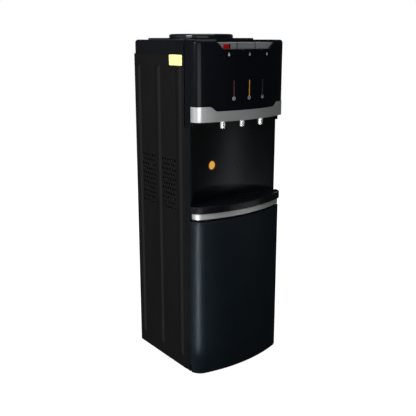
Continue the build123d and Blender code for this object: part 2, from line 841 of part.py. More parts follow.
# Drip tray: lipped dish behind a bowed rim, with a sunk basin; the grille rests on its ledge
tray_gap = 2.5
ledge_width = 3.5
grille_thickness = 3.0
grille_sink = 4.0
rim_bevel = 1.5
tray_back = column_front - tray_gap
ledge_level = tray_top - grille_sink - grille_thickness


def tray_plan(inset):
    """Plan of the tray: the overhanging lip in front and an arc that clears the niche behind."""
    back = tray_back - inset
    half = niche_half - tray_gap - inset
    with BuildSketch() as plan:
        add(front_face(strip_outline, inset - lip_overhang, back))
        with BuildLine():
            ThreePointArc((-half, back), (0, niche_middle - tray_gap - inset), (half, back))
            Line((half, back), (-half, back))
        make_face()
    return plan.sketch


with BuildPart() as drip_tray:
    with BuildSketch(Plane.XY.offset(tray_bottom)):
        add(tray_plan(0))
    extrude(amount=tray_height)
    chamfer(drip_tray.faces().sort_by(Axis.Z)[-1].edges(), length=rim_bevel)
    with BuildSketch(Plane.XY.offset(tray_top)):
        add(tray_plan(tray_wall))
    extrude(amount=-grille_sink - grille_thickness, mode=Mode.SUBTRACT)
    with BuildSketch(Plane.XY.offset(tray_top)):
        add(tray_plan(tray_wall + ledge_width))
    extrude(amount=tray_wall - tray_height, mode=Mode.SUBTRACT)
    with BuildSketch(Plane.YZ):
        with Locations((basin_middle, tray_bottom)):
            Rectangle(basin_back - basin_front, basin_drop, align=(Align.CENTER, Align.MAX))
    extrude(amount=basin_half, both=True)
    with BuildSketch(Plane.YZ):
        with Locations((basin_middle, tray_bottom + tray_wall)):
            Rectangle(basin_back - basin_front - 2 * tray_wall, basin_drop, align=(Align.CENTER, Align.MAX))
    extrude(amount=basin_half - tray_wall, both=True, mode=Mode.SUBTRACT)
drip_tray.part.label = "drip_tray"
export_step(drip_tray.part, "parts/drip_tray.step")

grille_slots = 15
grille_slot_width = 6.0
grille_slot_length = 26.0
grille_slot_pitch = 2 * basin_half / (grille_slots + 1)
with BuildPart() as drip_grille:
    with BuildSketch(Plane.XY.offset(ledge_level)):
        add(tray_plan(tray_wall + slide_clearance))
        with Locations((0, basin_middle)):
            with GridLocations(grille_slot_pitch, 0, grille_slots, 1):
                Rectangle(grille_slot_width, grille_slot_length, mode=Mode.SUBTRACT)
    extrude(amount=grille_thickness)
drip_grille.part.label = "drip_grille"
export_step(drip_grille.part, "parts/drip_grille.step")

# Door: shell with rounded corners, open behind, on two pins at its right edge
door_wall = 3.0
door_rear_reach = 26.0
pin_inset = 10.5
pin_reach = 36.0
pin_radius = 2.5
pin_boss_radius = 4.5
pin_boss_height = 12.0
liner_sink = 0.5
liner_thickness = 3.0
door_rear = panel_front - door_rear_reach
pin_x = door_half_width - pin_inset
pin_y = panel_front - pin_reach
with BuildPart() as door:
    with BuildSketch(Plane.XY.offset(door_bottom)):
        add(front_face(door_outline, 0, door_rear))
    extrude(amount=door_height)
    with BuildSketch(Plane.XY.offset(door_bottom + door_wall)):
        add(front_face(door_outline, door_wall, door_rear))
    extrude(amount=door_height - 2 * door_wall, mode=Mode.SUBTRACT)
    for level, rise in ((door_bottom, pin_boss_height), (door_top, -pin_boss_height)):
        with BuildSketch(Plane.XY.offset(level)):
            with Locations((pin_x, pin_y)):
                Circle(pin_boss_radius)
        extrude(amount=rise)
        with BuildSketch(Plane.XY.offset(level)):
            with Locations((pin_x, pin_y)):
                Circle(pin_radius)
        extrude(amount=rise, mode=Mode.SUBTRACT)
door.part.label = "door"
export_step(door.part, "parts/door.step")

# Door liner: flat inner panel with a raised field, set into the back of the door
liner_margin = 24.0
liner_rise = 4.0
liner_rear = door_rear - liner_sink
liner_front = liner_rear - liner_thickness
liner_mid = (door_bottom + door_top) / 2
with BuildPart() as door_liner:
    with BuildSketch(Plane.XY.offset(door_bottom + door_wall)):
        add(front_face(door_outline, door_wall, liner_rear))
        add(front_face(door_outline, door_wall, liner_front), mode=Mode.SUBTRACT)
    extrude(amount=door_height - 2 * door_wall)
    with BuildSketch(Plane.XZ.offset(-liner_rear)):
        with Locations((0, liner_mid)):
            RectangleRounded(
                2 * (door_half_width - 2 * liner_margin), door_height - 2 * liner_margin, liner_margin / 2
            )
    extrude(amount=-liner_rise, taper=45)
door_liner.part.label = "door_liner"
export_step(door_liner.part, "parts/door_liner.step")

with BuildPart() as door_hinge_pins:
    for level, rise in ((door_bottom, pin_boss_height), (door_top, -pin_boss_height)):
        stub = -1 if rise > 0 else 1
        with BuildSketch(Plane.XY.offset(level + rise)):
            with Locations((pin_x, pin_y)):
                Circle(pin_radius)
        extrude(amount=-rise + stub * (panel_clearance + hinge_plate - touch_gap))
door_hinge_pins.part.label = "door_hinge_pins"
export_step(door_hinge_pins.part, "parts/door_hinge_pins.step")

# Hinge brackets: flat steel tongues under the base pan and under the tray holder
bracket_width = 26.0
bracket_tip = 6.0
bracket_inset = 2.0
bracket_lap = 10.0
bracket_left = pin_x + bracket_tip - bracket_width
bracket_roots = [
    (foot_height - hinge_plate, base_front + bracket_lap),
    (holder_bottom - hinge_plate, column_front - touch_gap),
]
with BuildPart() as hinge_brackets:
    for level, root_y in bracket_roots:
        with BuildSketch(Plane.XY.offset(level)):
            add(front_face(door_outline, bracket_inset, root_y))
            with Locations((bracket_left, pin_y - bracket_tip)):
                Rectangle(far, far, align=(Align.MIN, Align.MIN), mode=Mode.INTERSECT)
            with Locations((pin_x, pin_y)):
                Circle(pin_radius + running_clearance, mode=Mode.SUBTRACT)
        extrude(amount=hinge_plate)
hinge_brackets.part.label = "hinge_brackets"
export_step(hinge_brackets.part, "parts/hinge_brackets.step")

# Magnet on the left column that holds the door shut
magnet_height = 40.0
magnet_depth = 10.0
magnet_width = 12.0
with BuildPart() as door_magnet:
    with BuildSketch(Plane.XZ.offset(-liner_rear - touch_gap)):
        with Locations((-column_inner + magnet_width / 2, liner_mid)):
            Rectangle(magnet_width, magnet_height)
    extrude(amount=-magnet_depth)
door_magnet.part.label = "door_magnet"
export_step(door_magnet.part, "parts/door_magnet.step")

# Cabinet liner: storage compartment, open at the front
cabinet_wall = 2.5
cabinet_half = column_inner - touch_gap
cabinet_front_reach = 14.0
cabinet_rear_gap = 14.0
cabinet_top = holder_bottom - hinge_plate
cabinet_front = panel_front - cabinet_front_reach
cabinet_depth = panel_depth + cabinet_front_reach - cabinet_rear_gap
with BuildPart() as cabinet_liner:
    with BuildSketch(Plane.XY.offset(base_top)):
        with Locations((0, cabinet_front)):
            Rectangle(2 * cabinet_half, cabinet_depth, align=(Align.CENTER, Align.MIN))
    extrude(amount=cabinet_top - base_top)
    with BuildSketch(Plane.XY.offset(base_top + cabinet_wall)):
        with Locations((0, cabinet_front)):
            Rectangle(
                2 * (cabinet_half - cabinet_wall), cabinet_depth - cabinet_wall, align=(Align.CENTER, Align.MIN)
            )
    extrude(amount=cabinet_top - base_top - 2 * cabinet_wall, mode=Mode.SUBTRACT)
cabinet_liner.part.label = "cabinet_liner"
export_step(cabinet_liner.part, "parts/cabinet_liner.step")

# Decks: folded steel sheets between the side panels
deck_sheet = 2.0
deck_flange = 14.0
deck_level = holder_bottom + deck_sheet
deck_front = panel_front + column_tongue + touch_gap
deck_rear = sheet_rear - sheet - touch_gap
bracket_half = 72.0
bracket_front = bottle_y - bracket_half
bracket_back = bottle_y + bracket_half
feed_hole = 14.0


def deck(level, front, rear):
    """Flat sheet with a flange turned down along each side panel."""
    with BuildPart() as folded:
        with BuildSketch(Plane.XY.offset(level)):
            with Locations((0, front)):
                Rectangle(2 * panel_inner, rear - front, align=(Align.CENTER, Align.MIN))
        extrude(amount=-deck_sheet)
        for side in (-1, 1):
            with BuildSketch(Plane.XY.offset(level)):
                with Locations((side * (panel_inner - deck_sheet / 2), front)):
                    Rectangle(deck_sheet, rear - front, align=(Align.CENTER, Align.MIN))
            extrude(amount=-deck_flange)
    return folded.part


with BuildPart() as mid_deck:
    add(deck(deck_level, deck_front, deck_rear))
mid_deck.part.label = "mid_deck"
export_step(mid_deck.part, "parts/mid_deck.step")

with BuildPart() as tank_bracket:
    add(deck(bracket_level, bracket_front, bracket_back))
    with BuildSketch(Plane.XY.offset(bracket_level)):
        with Locations((0, bottle_y)):
            Circle(feed_hole)
    extrude(amount=-deck_sheet, mode=Mode.SUBTRACT)
tank_bracket.part.label = "tank_bracket"
export_step(tank_bracket.part, "parts/tank_bracket.step")

# Cold tank: open stainless cup with a feed nozzle below and two outlets in front
tank_radius = 55.0
tank_wall = 1.5
tank_rise = 12.0
jacket_wall = 12.0
rim_width = 8.0
outlet_x = 25.0
cold_outlet_rise = 14.0
warm_outlet_rise = 124.0
nozzle_length = 12.0
feed_drop = 10.0
nozzle_bore = 2.5
tank_top = cover_bottom + tank_rise
tank_bottom = bracket_level + jacket_wall
warm_outlet_level = bracket_level + warm_outlet_rise
cold_outlet_level = tank_bottom + cold_outlet_rise
jacket_radius = tank_radius + jacket_wall
outlet_y = bottle_y - jacket_radius - nozzle_length
outlets = [(outlet_x, cold_outlet_level), (0, warm_outlet_level)]
bottle_axis = Axis((0, bottle_y, 0), (0, 0, 1))
with BuildPart() as cold_tank:
    with BuildSketch(Plane.XZ.offset(-bottle_y)):
        with BuildLine():
            Polyline(
                (0, tank_bottom),
                (tank_radius, tank_bottom),
                (tank_radius, tank_top - tank_wall),
                (tank_radius + rim_width, tank_top - tank_wall),
                (tank_radius + rim_width, tank_top),
                (tank_radius - tank_wall, tank_top),
                (tank_radius - tank_wall, tank_bottom + tank_wall),
                (0, tank_bottom + tank_wall),
                close=True,
            )
        make_face()
    revolve(axis=bottle_axis)
    with BuildSketch(Plane.XY.offset(tank_bottom)):
        with Locations((0, bottle_y)):
            Circle(tube_bore)
    extrude(amount=-jacket_wall - feed_drop)
    with BuildSketch(Plane.XY.offset(tank_bottom + tank_wall)):
        with Locations((0, bottle_y)):
            Circle(nozzle_bore)
    extrude(amount=-far, mode=Mode.SUBTRACT)
    with BuildSketch(Plane.XZ.offset(-outlet_y)):
        with Locations(outlets):
            Circle(tube_bore)
    extrude(until=Until.NEXT, dir=(0, 1, 0))
    with BuildSketch(Plane.XZ.offset(-outlet_y)):
        with Locations(outlets):
            Circle(nozzle_bore)
    extrude(amount=outlet_y - bottle_y, mode=Mode.SUBTRACT)
cold_tank.part.label = "cold_tank"
export_step(cold_tank.part, "parts/cold_tank.step")

# Electronic cooling behind the tank: block, module, heat sink and fan in line
block_half = 25.0
module_half = 20.0
module_depth = 4.0
sink_half = 40.0
sink_base = 4.0
fin_count = 9
fin_thickness = 2.0
sink_gap = 2.4
fan_front = sheet_rear - fan_depth
sink_rear = fan_front
sink_front = bottle_y + jacket_radius + sink_gap
module_front = sink_front - module_depth
with BuildPart() as cold_block:
    with BuildSketch(Plane.XZ.offset(-module_front)):
        with Locations((0, fan_level)):
            Rectangle(2 * block_half, 2 * block_half)
    extrude(amount=module_front - bottle_y)
    with BuildSketch(Plane.XY.offset(tank_bottom)):
        with Locations((0, bottle_y)):
            Circle(tank_radius)
    extrude(amount=tank_top - tank_bottom, mode=Mode.SUBTRACT)
cold_block.part.label = "cold_block"
export_step(cold_block.part, "parts/cold_block.step")

with BuildPart() as peltier_module:
    with BuildSketch(Plane.XZ.offset(-sink_front)):
        with Locations((0, fan_level)):
            Rectangle(2 * module_half, 2 * module_half)
    extrude(amount=module_depth)
peltier_module.part.label = "peltier_module"
export_step(peltier_module.part, "parts/peltier_module.step")

with BuildPart() as heat_sink:
    with BuildSketch(Plane.XZ.offset(-sink_front)):
        with Locations((0, fan_level)):
            Rectangle(2 * sink_half, 2 * sink_half)
    extrude(amount=-sink_base)
    with BuildSketch(Plane.XZ.offset(-sink_front)):
        with Locations((0, fan_level)):
            with GridLocations((2 * sink_half - fin_thickness) / (fin_count - 1), 0, fin_count, 1):
                Rectangle(fin_thickness, 2 * sink_half)
    extrude(amount=sink_front - sink_rear)
heat_sink.part.label = "heat_sink"
export_step(heat_sink.part, "parts/heat_sink.step")

# Foam jacket: cup round the tank, with a window for the cooling block and holes for the outlets
with BuildPart() as cold_tank_jacket:
    with BuildSketch(Plane.XY.offset(bracket_level)):
        with Locations((0, bottle_y)):
            Circle(jacket_radius)
    extrude(amount=tank_top - tank_wall - bracket_level)
    with BuildSketch(Plane.XY.offset(tank_bottom)):
        with Locations((0, bottle_y)):
            Circle(tank_radius)
    extrude(amount=far, mode=Mode.SUBTRACT)
    with BuildSketch(Plane.XY.offset(bracket_level)):
        with Locations((0, bottle_y)):
            Circle(tube_radius + touch_gap)
    extrude(amount=jacket_wall, mode=Mode.SUBTRACT)
    with BuildSketch(Plane.XZ.offset(-bottle_y)):
        with Locations(outlets):
            Circle(tube_bore)
    extrude(amount=far, mode=Mode.SUBTRACT)
    with BuildSketch(Plane.XZ.offset(-bottle_y)):
        with Locations((0, fan_level)):
            Rectangle(2 * block_half, 2 * block_half)
    extrude(amount=-far, mode=Mode.SUBTRACT)
cold_tank_jacket.part.label = "cold_tank_jacket"
export_step(cold_tank_jacket.part, "parts/cold_tank_jacket.step")

# Bottle collar: rounded rim on the platform, funnel and neck well
collar_radius = 94.7
collar_height = 11.5
collar_round = 6.0
collar_wall = 2.5
mouth_radius = 84.0
well_radius = 33.0
well_sink = 20.0
well_depth = 62.0
spigot_drop = 6.0
spigot_gap = 0.6
spigot_wall = 5.0
spike_hole = 9.0
flow_hole = 4.5
flow_ring = 22.0
flow_count = 6
collar_top = platform_top + collar_height
well_top = platform_top - well_sink
well_floor = platform_top - well_depth
funnel_drop = collar_wall * hypot(mouth_radius - well_radius, collar_top - well_top) / (mouth_radius - well_radius)
spigot_outer = seat_hole_radius - spigot_gap
spigot_inner = spigot_outer - spigot_wall
funnel_slope = (collar_top - well_top) / (mouth_radius - well_radius)
with BuildPart() as bottle_collar:
    with BuildSketch(Plane.XZ.offset(-bottle_y)):
        with BuildLine():
            Polyline(
                (collar_radius - collar_round, collar_top),
                (mouth_radius, collar_top),
                (well_radius, well_top),
                (well_radius, well_floor),
                (0, well_floor),
                (0, well_floor - collar_wall),
                (well_radius + collar_wall, well_floor - collar_wall),
                (well_radius + collar_wall, well_top - funnel_drop + collar_wall * funnel_slope),
                (spigot_inner, well_top - funnel_drop + (spigot_inner - well_radius) * funnel_slope),
                (spigot_inner, platform_top - spigot_drop),
                (spigot_outer, platform_top - spigot_drop),
                (spigot_outer, platform_top),
                (collar_radius, platform_top),
                (collar_radius, collar_top - collar_round),
            )
            RadiusArc(
                (collar_radius, collar_top - collar_round), (collar_radius - collar_round, collar_top), -collar_round
            )
        make_face()
    revolve(axis=bottle_axis)
    with BuildSketch(Plane.XY.offset(well_floor)):
        with Locations((0, bottle_y)):
            Circle(spike_hole)
            with PolarLocations(flow_ring, flow_count):
                Circle(flow_hole)
    extrude(amount=-collar_wall, mode=Mode.SUBTRACT)
bottle_collar.part.label = "bottle_collar"
export_step(bottle_collar.part, "parts/bottle_collar.step")

# Neck spike: hollow probe that opens the bottle's cap, with two windows
spike_radius = 8.0
spike_tip_radius = 3.5
spike_bore = 5.0
spike_flange = 13.0
spike_flange_height = 3.0
spike_sink = 8.0
spike_cone = 14.0
window_width = 5.0
window_height = 12.0
spike_top = platform_top - spike_sink
with BuildPart() as neck_spike:
    with BuildSketch(Plane.XZ.offset(-bottle_y)):
        with BuildLine():
            Polyline(
                (spike_bore, well_floor - collar_wall),
                (spike_hole, well_floor - collar_wall),
                (spike_hole, well_floor),
                (spike_flange, well_floor),
                (spike_flange, well_floor + spike_flange_height),
                (spike_radius, well_floor + spike_flange_height),
                (spike_radius, spike_top - spike_cone),
                (spike_tip_radius, spike_top),
                (0, spike_top),
                (0, spike_top - spike_cone),
                (spike_bore, spike_top - spike_cone),
                close=True,
            )
        make_face()
    revolve(axis=bottle_axis)
    with BuildSketch(Plane.XZ.offset(-bottle_y)):
        with Locations((0, spike_top - spike_cone - window_height)):
            Rectangle(window_width, window_height)
    extrude(amount=spike_flange, both=True, mode=Mode.SUBTRACT)
neck_spike.part.label = "neck_spike"
export_step(neck_spike.part, "parts/neck_spike.step")

# Fan: square frame with hub struts and a bladed rotor on its axle
fan_ring_gap = 3.0
fan_hub = 16.0
strut_width = 5.0
strut_depth = 4.0
axle_radius = 1.5
rotor_gap = 1.5
rotor_front_gap = 2.0
blade_count = 7
blade_chord = 15.0
blade_thickness = 1.6
blade_pitch = 40.0
rotor_hub = 17.0
fan_bore = fan_side / 2 - fan_ring_gap
rotor_rear = sheet_rear - strut_depth - rotor_gap
rotor_front = fan_front + rotor_front_gap
fan_axis_plane = Plane.XZ.offset(-sheet_rear)
with BuildPart() as fan_frame:
    with BuildSketch(fan_axis_plane):
        with Locations((0, fan_level)):
            RectangleRounded(fan_side, fan_side, fan_ring_gap)
            Circle(fan_bore, mode=Mode.SUBTRACT)
    extrude(amount=fan_depth)
    with BuildSketch(fan_axis_plane):
        with Locations((0, fan_level)):
            Circle(fan_hub)
            Rectangle(2 * fan_bore + fan_ring_gap, strut_width)
            Rectangle(strut_width, 2 * fan_bore + fan_ring_gap)
    extrude(amount=strut_depth)
    with BuildSketch(fan_axis_plane):
        with Locations((0, fan_level)):
            Circle(axle_radius)
    extrude(amount=sheet_rear - rotor_front)
fan_frame.part.label = "fan_frame"
export_step(fan_frame.part, "parts/fan_frame.step")

with BuildPart() as fan_rotor:
    with BuildSketch(Plane.XZ.offset(-rotor_rear)):
        with Locations((0, fan_level)):
            Circle(rotor_hub)
            Circle(axle_radius + running_clearance, mode=Mode.SUBTRACT)
    extrude(amount=rotor_rear - rotor_front)
    for blade in range(blade_count):
        angle = 2 * pi * blade / blade_count
        radial = Vector(cos(angle), 0, sin(angle))
        slant = Vector(0, 1, 0).rotate(Axis((0, 0, 0), radial), blade_pitch)
        root = Vector(0, (rotor_rear + rotor_front) / 2, fan_level) + radial * (rotor_hub - blade_thickness)
        with BuildSketch(Plane(origin=root, x_dir=slant, z_dir=radial)):
            Rectangle(blade_chord, blade_thickness)
        extrude(amount=fan_bore - rotor_gap - rotor_hub)
fan_rotor.part.label = "fan_rotor"
export_step(fan_rotor.part, "parts/fan_rotor.step")

# Hot tank: closed stainless drum on a skirt, with nozzles on its lid
hot_radius = 48.0
hot_wall = 1.2
hot_headroom = 57.5
hot_skirt = 16.0
hot_outlet_x = -26.0
hot_nozzle = 14.0
hot_bottom = deck_level + hot_skirt
hot_top = bracket_level - hot_headroom
hot_spots = [(0, bottle_y), (hot_outlet_x, bottle_y)]
with BuildPart() as hot_tank:
    with BuildSketch(Plane.XZ.offset(-bottle_y)):
        with BuildLine():
            Polyline(
                (0, hot_bottom),
                (hot_radius - hot_wall, hot_bottom),
                (hot_radius - hot_wall, deck_level),
                (hot_radius, deck_level),
                (hot_radius, hot_top),
                (0, hot_top),
                (0, hot_top - hot_wall),
                (hot_radius - hot_wall, hot_top - hot_wall),
                (hot_radius - hot_wall, hot_bottom + hot_wall),
                (0, hot_bottom + hot_wall),
                close=True,
            )
        make_face()
    revolve(axis=bottle_axis)
    with BuildSketch(Plane.XY.offset(hot_top)):
        with Locations(hot_spots):
            Circle(tube_bore)
    extrude(amount=hot_nozzle)
    with BuildSketch(Plane.XY.offset(hot_top + hot_nozzle)):
        with Locations(hot_spots):
            Circle(nozzle_bore)
    extrude(amount=-hot_nozzle - hot_wall, mode=Mode.SUBTRACT)
hot_tank.part.label = "hot_tank"
export_step(hot_tank.part, "parts/hot_tank.step")

# Silicone tubes: straight runs joined by arcs, pushed over the nozzles
tube_bend = 16.0
hot_lane_rise = 36.0
hot_lane_level = hot_top + hot_lane_rise
lane_y = (outlet_y + niche_middle + niche_wall) / 2
barb_y = panel_front - barb_reach - tube_grip
tube_start_y = outlet_y + tube_grip
feed_bottom = hot_top + touch_gap
tube_routes = {
    "feed_tube": [
        (0, bottle_y, bracket_level - feed_drop + tube_grip),
        (0, bottle_y, feed_bottom),
    ],
    "hot_tube": [
        (hot_outlet_x, bottle_y, feed_bottom),
        (hot_outlet_x, bottle_y, hot_lane_level),
        (-tap_pitch, lane_y, hot_lane_level),
        (-tap_pitch, lane_y, barb_level),
        (-tap_pitch, barb_y, barb_level),
    ],
    "warm_tube": [
        (0, tube_start_y, warm_outlet_level),
        (0, lane_y, warm_outlet_level),
        (0, lane_y, barb_level),
        (0, barb_y, barb_level),
    ],
    "cold_tube": [
        (outlet_x, tube_start_y, cold_outlet_level),
        (outlet_x, lane_y, cold_outlet_level),
        (tap_pitch, lane_y, barb_level),
        (tap_pitch, barb_y, barb_level),
    ],
}
for tube_name, route in tube_routes.items():
    first, second = Vector(*route[0]), Vector(*route[1])
    with BuildPart() as tube:
        with BuildLine():
            if len(route) > 2:
                FilletPolyline(*route, radius=tube_bend)
            else:
                Line(*route)
        with BuildSketch(Plane(origin=first, z_dir=second - first)):
            Circle(tube_radius)
            Circle(tube_bore, mode=Mode.SUBTRACT)
        sweep()
    tube.part.label = tube_name
    export_step(tube.part, f"parts/{tube_name}.step")

# Power board on standoffs beside the hot tank
power_edge = 16.3
power_shift = 15.6
power_width = 70.0
power_length = 110.0
standoff_height = 8.0
standoff_radius = 3.5
standoff_inset = 6.0
coil_box = (34.0, 30.0, 28.0)
can_radius = 9.0
can_height = 24.0
power_x = panel_inner - power_edge - power_width / 2
power_y = bottle_y - power_shift
power_level = deck_level + standoff_height
with BuildPart() as power_board:
    with BuildSketch(Plane.XY.offset(power_level)):
        with Locations((power_x, power_y)):
            Rectangle(power_width, power_length)
    extrude(amount=board_thickness)
    with BuildSketch(Plane.XY.offset(power_level)):
        with Locations((power_x, power_y)):
            with GridLocations(power_width - 2 * standoff_inset, power_length - 2 * standoff_inset, 2, 2):
                Circle(standoff_radius)
    extrude(amount=-standoff_height)
    with BuildSketch(Plane.XY.offset(power_level + board_thickness)):
        with Locations((power_x, power_y + power_length / 5)):
            Rectangle(coil_box[0], coil_box[1])
    extrude(amount=coil_box[2])
    with BuildSketch(Plane.XY.offset(power_level + board_thickness)):
        with Locations((power_x, power_y - power_length / 4)):
            with GridLocations(3 * can_radius, 0, 2, 1):
                Circle(can_radius)
    extrude(amount=can_height)
power_board.part.label = "power_board"
export_step(power_board.part, "parts/power_board.step")

# Rear rocker switches: bezels in the panel and rockers on trunnions
bezel_lip = 2.0
bezel_depth = 16.0
bezel_wall = 2.0
trunnion_radius = 1.2
trunnion_length = 1.2
pivot_depth = 4.0
rocker_tilt = 8.0
rocker_nose = 3.4
rocker_tail = 5.0
rocker_swing = 1.4
pivot_y = panel_rear - pivot_depth
rocker_half = switch_tall / 2 - bezel_wall - rocker_swing
rocker_width = switch_width - 2 * bezel_wall - 2 * slide_clearance
with BuildPart() as switch_bezels:
    with BuildSketch(Plane.XZ.offset(-panel_rear)):
        with Locations(switch_spots):
            Rectangle(switch_width + 2 * bezel_lip, switch_tall + 2 * bezel_lip)
    extrude(amount=-bezel_lip)
    with BuildSketch(Plane.XZ.offset(-panel_rear)):
        with Locations(switch_spots):
            Rectangle(switch_width, switch_tall)
    extrude(amount=bezel_depth)
    with BuildSketch(Plane.XZ.offset(-panel_rear - bezel_lip)):
        with Locations(switch_spots):
            Rectangle(switch_width - 2 * bezel_wall, switch_tall - 2 * bezel_wall)
    extrude(amount=bezel_depth + bezel_lip - bezel_wall, mode=Mode.SUBTRACT)
    for spot in switch_spots:
        with BuildSketch(Plane.YZ.offset(spot[0])):
            with Locations((pivot_y, spot[1])):
                Circle(trunnion_radius + running_clearance)
        extrude(amount=switch_width / 2 - bezel_wall + trunnion_length, both=True, mode=Mode.SUBTRACT)
switch_bezels.part.label = "switch_bezels"
export_step(switch_bezels.part, "parts/switch_bezels.step")

for rocker_name, spot in zip(("heat", "cool"), switch_spots):
    with BuildPart() as rocker:
        with BuildSketch(Plane.YZ.offset(spot[0])) as rocker_side:
            with Locations((pivot_y, spot[1])):
                with BuildLine():
                    Polyline(
                        (pivot_y + rocker_nose + pivot_depth, spot[1] - rocker_half),
                        (pivot_y + rocker_nose, spot[1]),
                        (pivot_y + rocker_nose + pivot_depth, spot[1] + rocker_half),
                        (pivot_y, spot[1] + rocker_half),
                        (pivot_y - rocker_tail, spot[1]),
                        (pivot_y, spot[1] - rocker_half),
                        close=True,
                    )
            make_face()
        extrude(amount=rocker_width / 2, both=True)
        with BuildSketch(Plane.YZ.offset(spot[0])):
            with Locations((pivot_y, spot[1])):
                Circle(trunnion_radius)
        extrude(amount=rocker_width / 2 + slide_clearance + trunnion_length / 2, both=True)
    pivot = Axis((0, pivot_y, spot[1]), (1, 0, 0))
    tilted = rocker.part.rotate(pivot, -rocker_tilt)
    tilted.label = f"{rocker_name}_switch_rocker"
    export_step(tilted, f"parts/{rocker_name}_switch_rocker.step")

# Drain: pipe from the hot tank through the rear panel, closed by a screw cap
drain_bore = 6.0
drain_flange = 13.0
drain_flange_thickness = 2.5
cap_radius = 12.5
cap_wall = 2.5
cap_gap = 1.0
flute_count = 12
flute_radius = 1.6
cap_rear = panel_rear + drain_reach
drain_end = cap_rear - cap_wall - touch_gap
drain_axis = Axis((drain_x, 0, drain_level), (0, 1, 0))
with BuildPart() as drain_spout:
    with BuildSketch(Plane.XZ.offset(-drain_end)):
        with Locations((drain_x, drain_level)):
            Circle(drain_radius)
    extrude(amount=drain_end - bottle_y)
    with BuildSketch(Plane.XZ.offset(-sheet_rear)):
        with Locations((drain_x, drain_level)):
            Circle(drain_flange)
    extrude(amount=drain_flange_thickness)
    with BuildSketch(Plane.XZ.offset(-drain_end)):
        with Locations((drain_x, drain_level)):
            Circle(drain_bore)
    extrude(amount=far, mode=Mode.SUBTRACT)
    with BuildSketch(Plane.XY.offset(deck_level)):
        with Locations((0, bottle_y)):
            Circle(hot_radius)
    extrude(amount=hot_top - deck_level, mode=Mode.SUBTRACT)
drain_spout.part.label = "drain_spout"
export_step(drain_spout.part, "parts/drain_spout.step")

with BuildPart() as drain_cap:
    with BuildSketch(Plane.XZ.offset(-cap_rear)):
        with Locations((drain_x, drain_level)):
            Circle(cap_radius)
            with PolarLocations(cap_radius, flute_count):
                Circle(flute_radius, mode=Mode.SUBTRACT)
    extrude(amount=drain_reach - cap_gap)
    with BuildSketch(Plane.XZ.offset(cap_wall - cap_rear)):
        with Locations((drain_x, drain_level)):
            Circle(drain_radius + running_clearance)
    extrude(amount=drain_reach, mode=Mode.SUBTRACT)
drain_cap.part.label = "drain_cap"
export_step(drain_cap.part, "parts/drain_cap.step")

# Cord gland: bush in the rear panel
gland_flange = 11.0
gland_flange_thickness = 3.0
gland_bore = 4.0
with BuildPart() as cord_gland:
    with BuildSketch(Plane.XZ.offset(-panel_rear)):
        with Locations((gland_x, gland_level)):
            Circle(gland_flange)
    extrude(amount=-gland_flange_thickness)
    with BuildSketch(Plane.XZ.offset(-panel_rear)):
        with Locations((gland_x, gland_level)):
            Circle(gland_radius)
    extrude(amount=2 * gland_flange_thickness)
    with BuildSketch(Plane.XZ.offset(-panel_rear - gland_flange_thickness)):
        with Locations((gland_x, gland_level)):
            Circle(gland_bore)
    extrude(amount=far, mode=Mode.SUBTRACT)
cord_gland.part.label = "cord_gland"
export_step(cord_gland.part, "parts/cord_gland.step")
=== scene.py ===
import json
from math import radians

import bpy
import numpy as np
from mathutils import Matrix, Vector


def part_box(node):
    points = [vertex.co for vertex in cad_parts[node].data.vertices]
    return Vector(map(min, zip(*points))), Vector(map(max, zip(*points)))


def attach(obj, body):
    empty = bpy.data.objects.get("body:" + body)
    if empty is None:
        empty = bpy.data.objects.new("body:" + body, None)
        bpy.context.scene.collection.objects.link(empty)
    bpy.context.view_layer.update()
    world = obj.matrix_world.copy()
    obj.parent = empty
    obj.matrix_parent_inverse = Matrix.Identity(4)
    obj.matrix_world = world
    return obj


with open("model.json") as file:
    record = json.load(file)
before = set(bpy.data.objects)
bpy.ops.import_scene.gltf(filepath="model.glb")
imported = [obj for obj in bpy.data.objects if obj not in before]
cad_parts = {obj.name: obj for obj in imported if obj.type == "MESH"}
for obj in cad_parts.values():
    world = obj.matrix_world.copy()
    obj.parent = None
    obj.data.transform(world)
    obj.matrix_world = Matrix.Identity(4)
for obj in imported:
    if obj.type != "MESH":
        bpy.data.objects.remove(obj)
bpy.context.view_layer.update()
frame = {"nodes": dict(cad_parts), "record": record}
nodes = frame["nodes"]
scene = bpy.context.scene
scene.view_settings.view_transform = "Standard"
print("frame loaded:", len(nodes), "nodes")

mm = 0.001
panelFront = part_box("left_side_panel")[0][1]  # front edge of the side panels
barLow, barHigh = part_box("cold_led_lens")
barX = (barLow[0] + barHigh[0]) / 2  # the light bars stand at minus this, at zero and at plus this
keyGapX = (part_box("warm_button")[1][0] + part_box("cold_button")[0][0]) / 2  # gaps beside the middle key


def linearColour(hexText):
    # sRGB to linear light: c / 12.92 when dark, else ((c + 0.055) / 1.055) to the power 2.4
    channels = np.array([int(hexText[i : i + 2], 16) for i in (1, 3, 5)]) / 255
    linear = np.where(channels <= 0.04045, channels / 12.92, ((channels + 0.055) / 1.055) ** 2.4)
    return (*linear.tolist(), 1.0)


def addNode(tree, kind, settings=None, inputs=None):
    # one node with its settings; an input is a value or another node's output to link
    made = tree.nodes.new(kind)
    for key, value in (settings or {}).items():
        setattr(made, key, value)
    for key, value in (inputs or {}).items():
        if isinstance(value, bpy.types.NodeSocket):
            tree.links.new(value, made.inputs[key])
        else:
            made.inputs[key].default_value = value
    return made


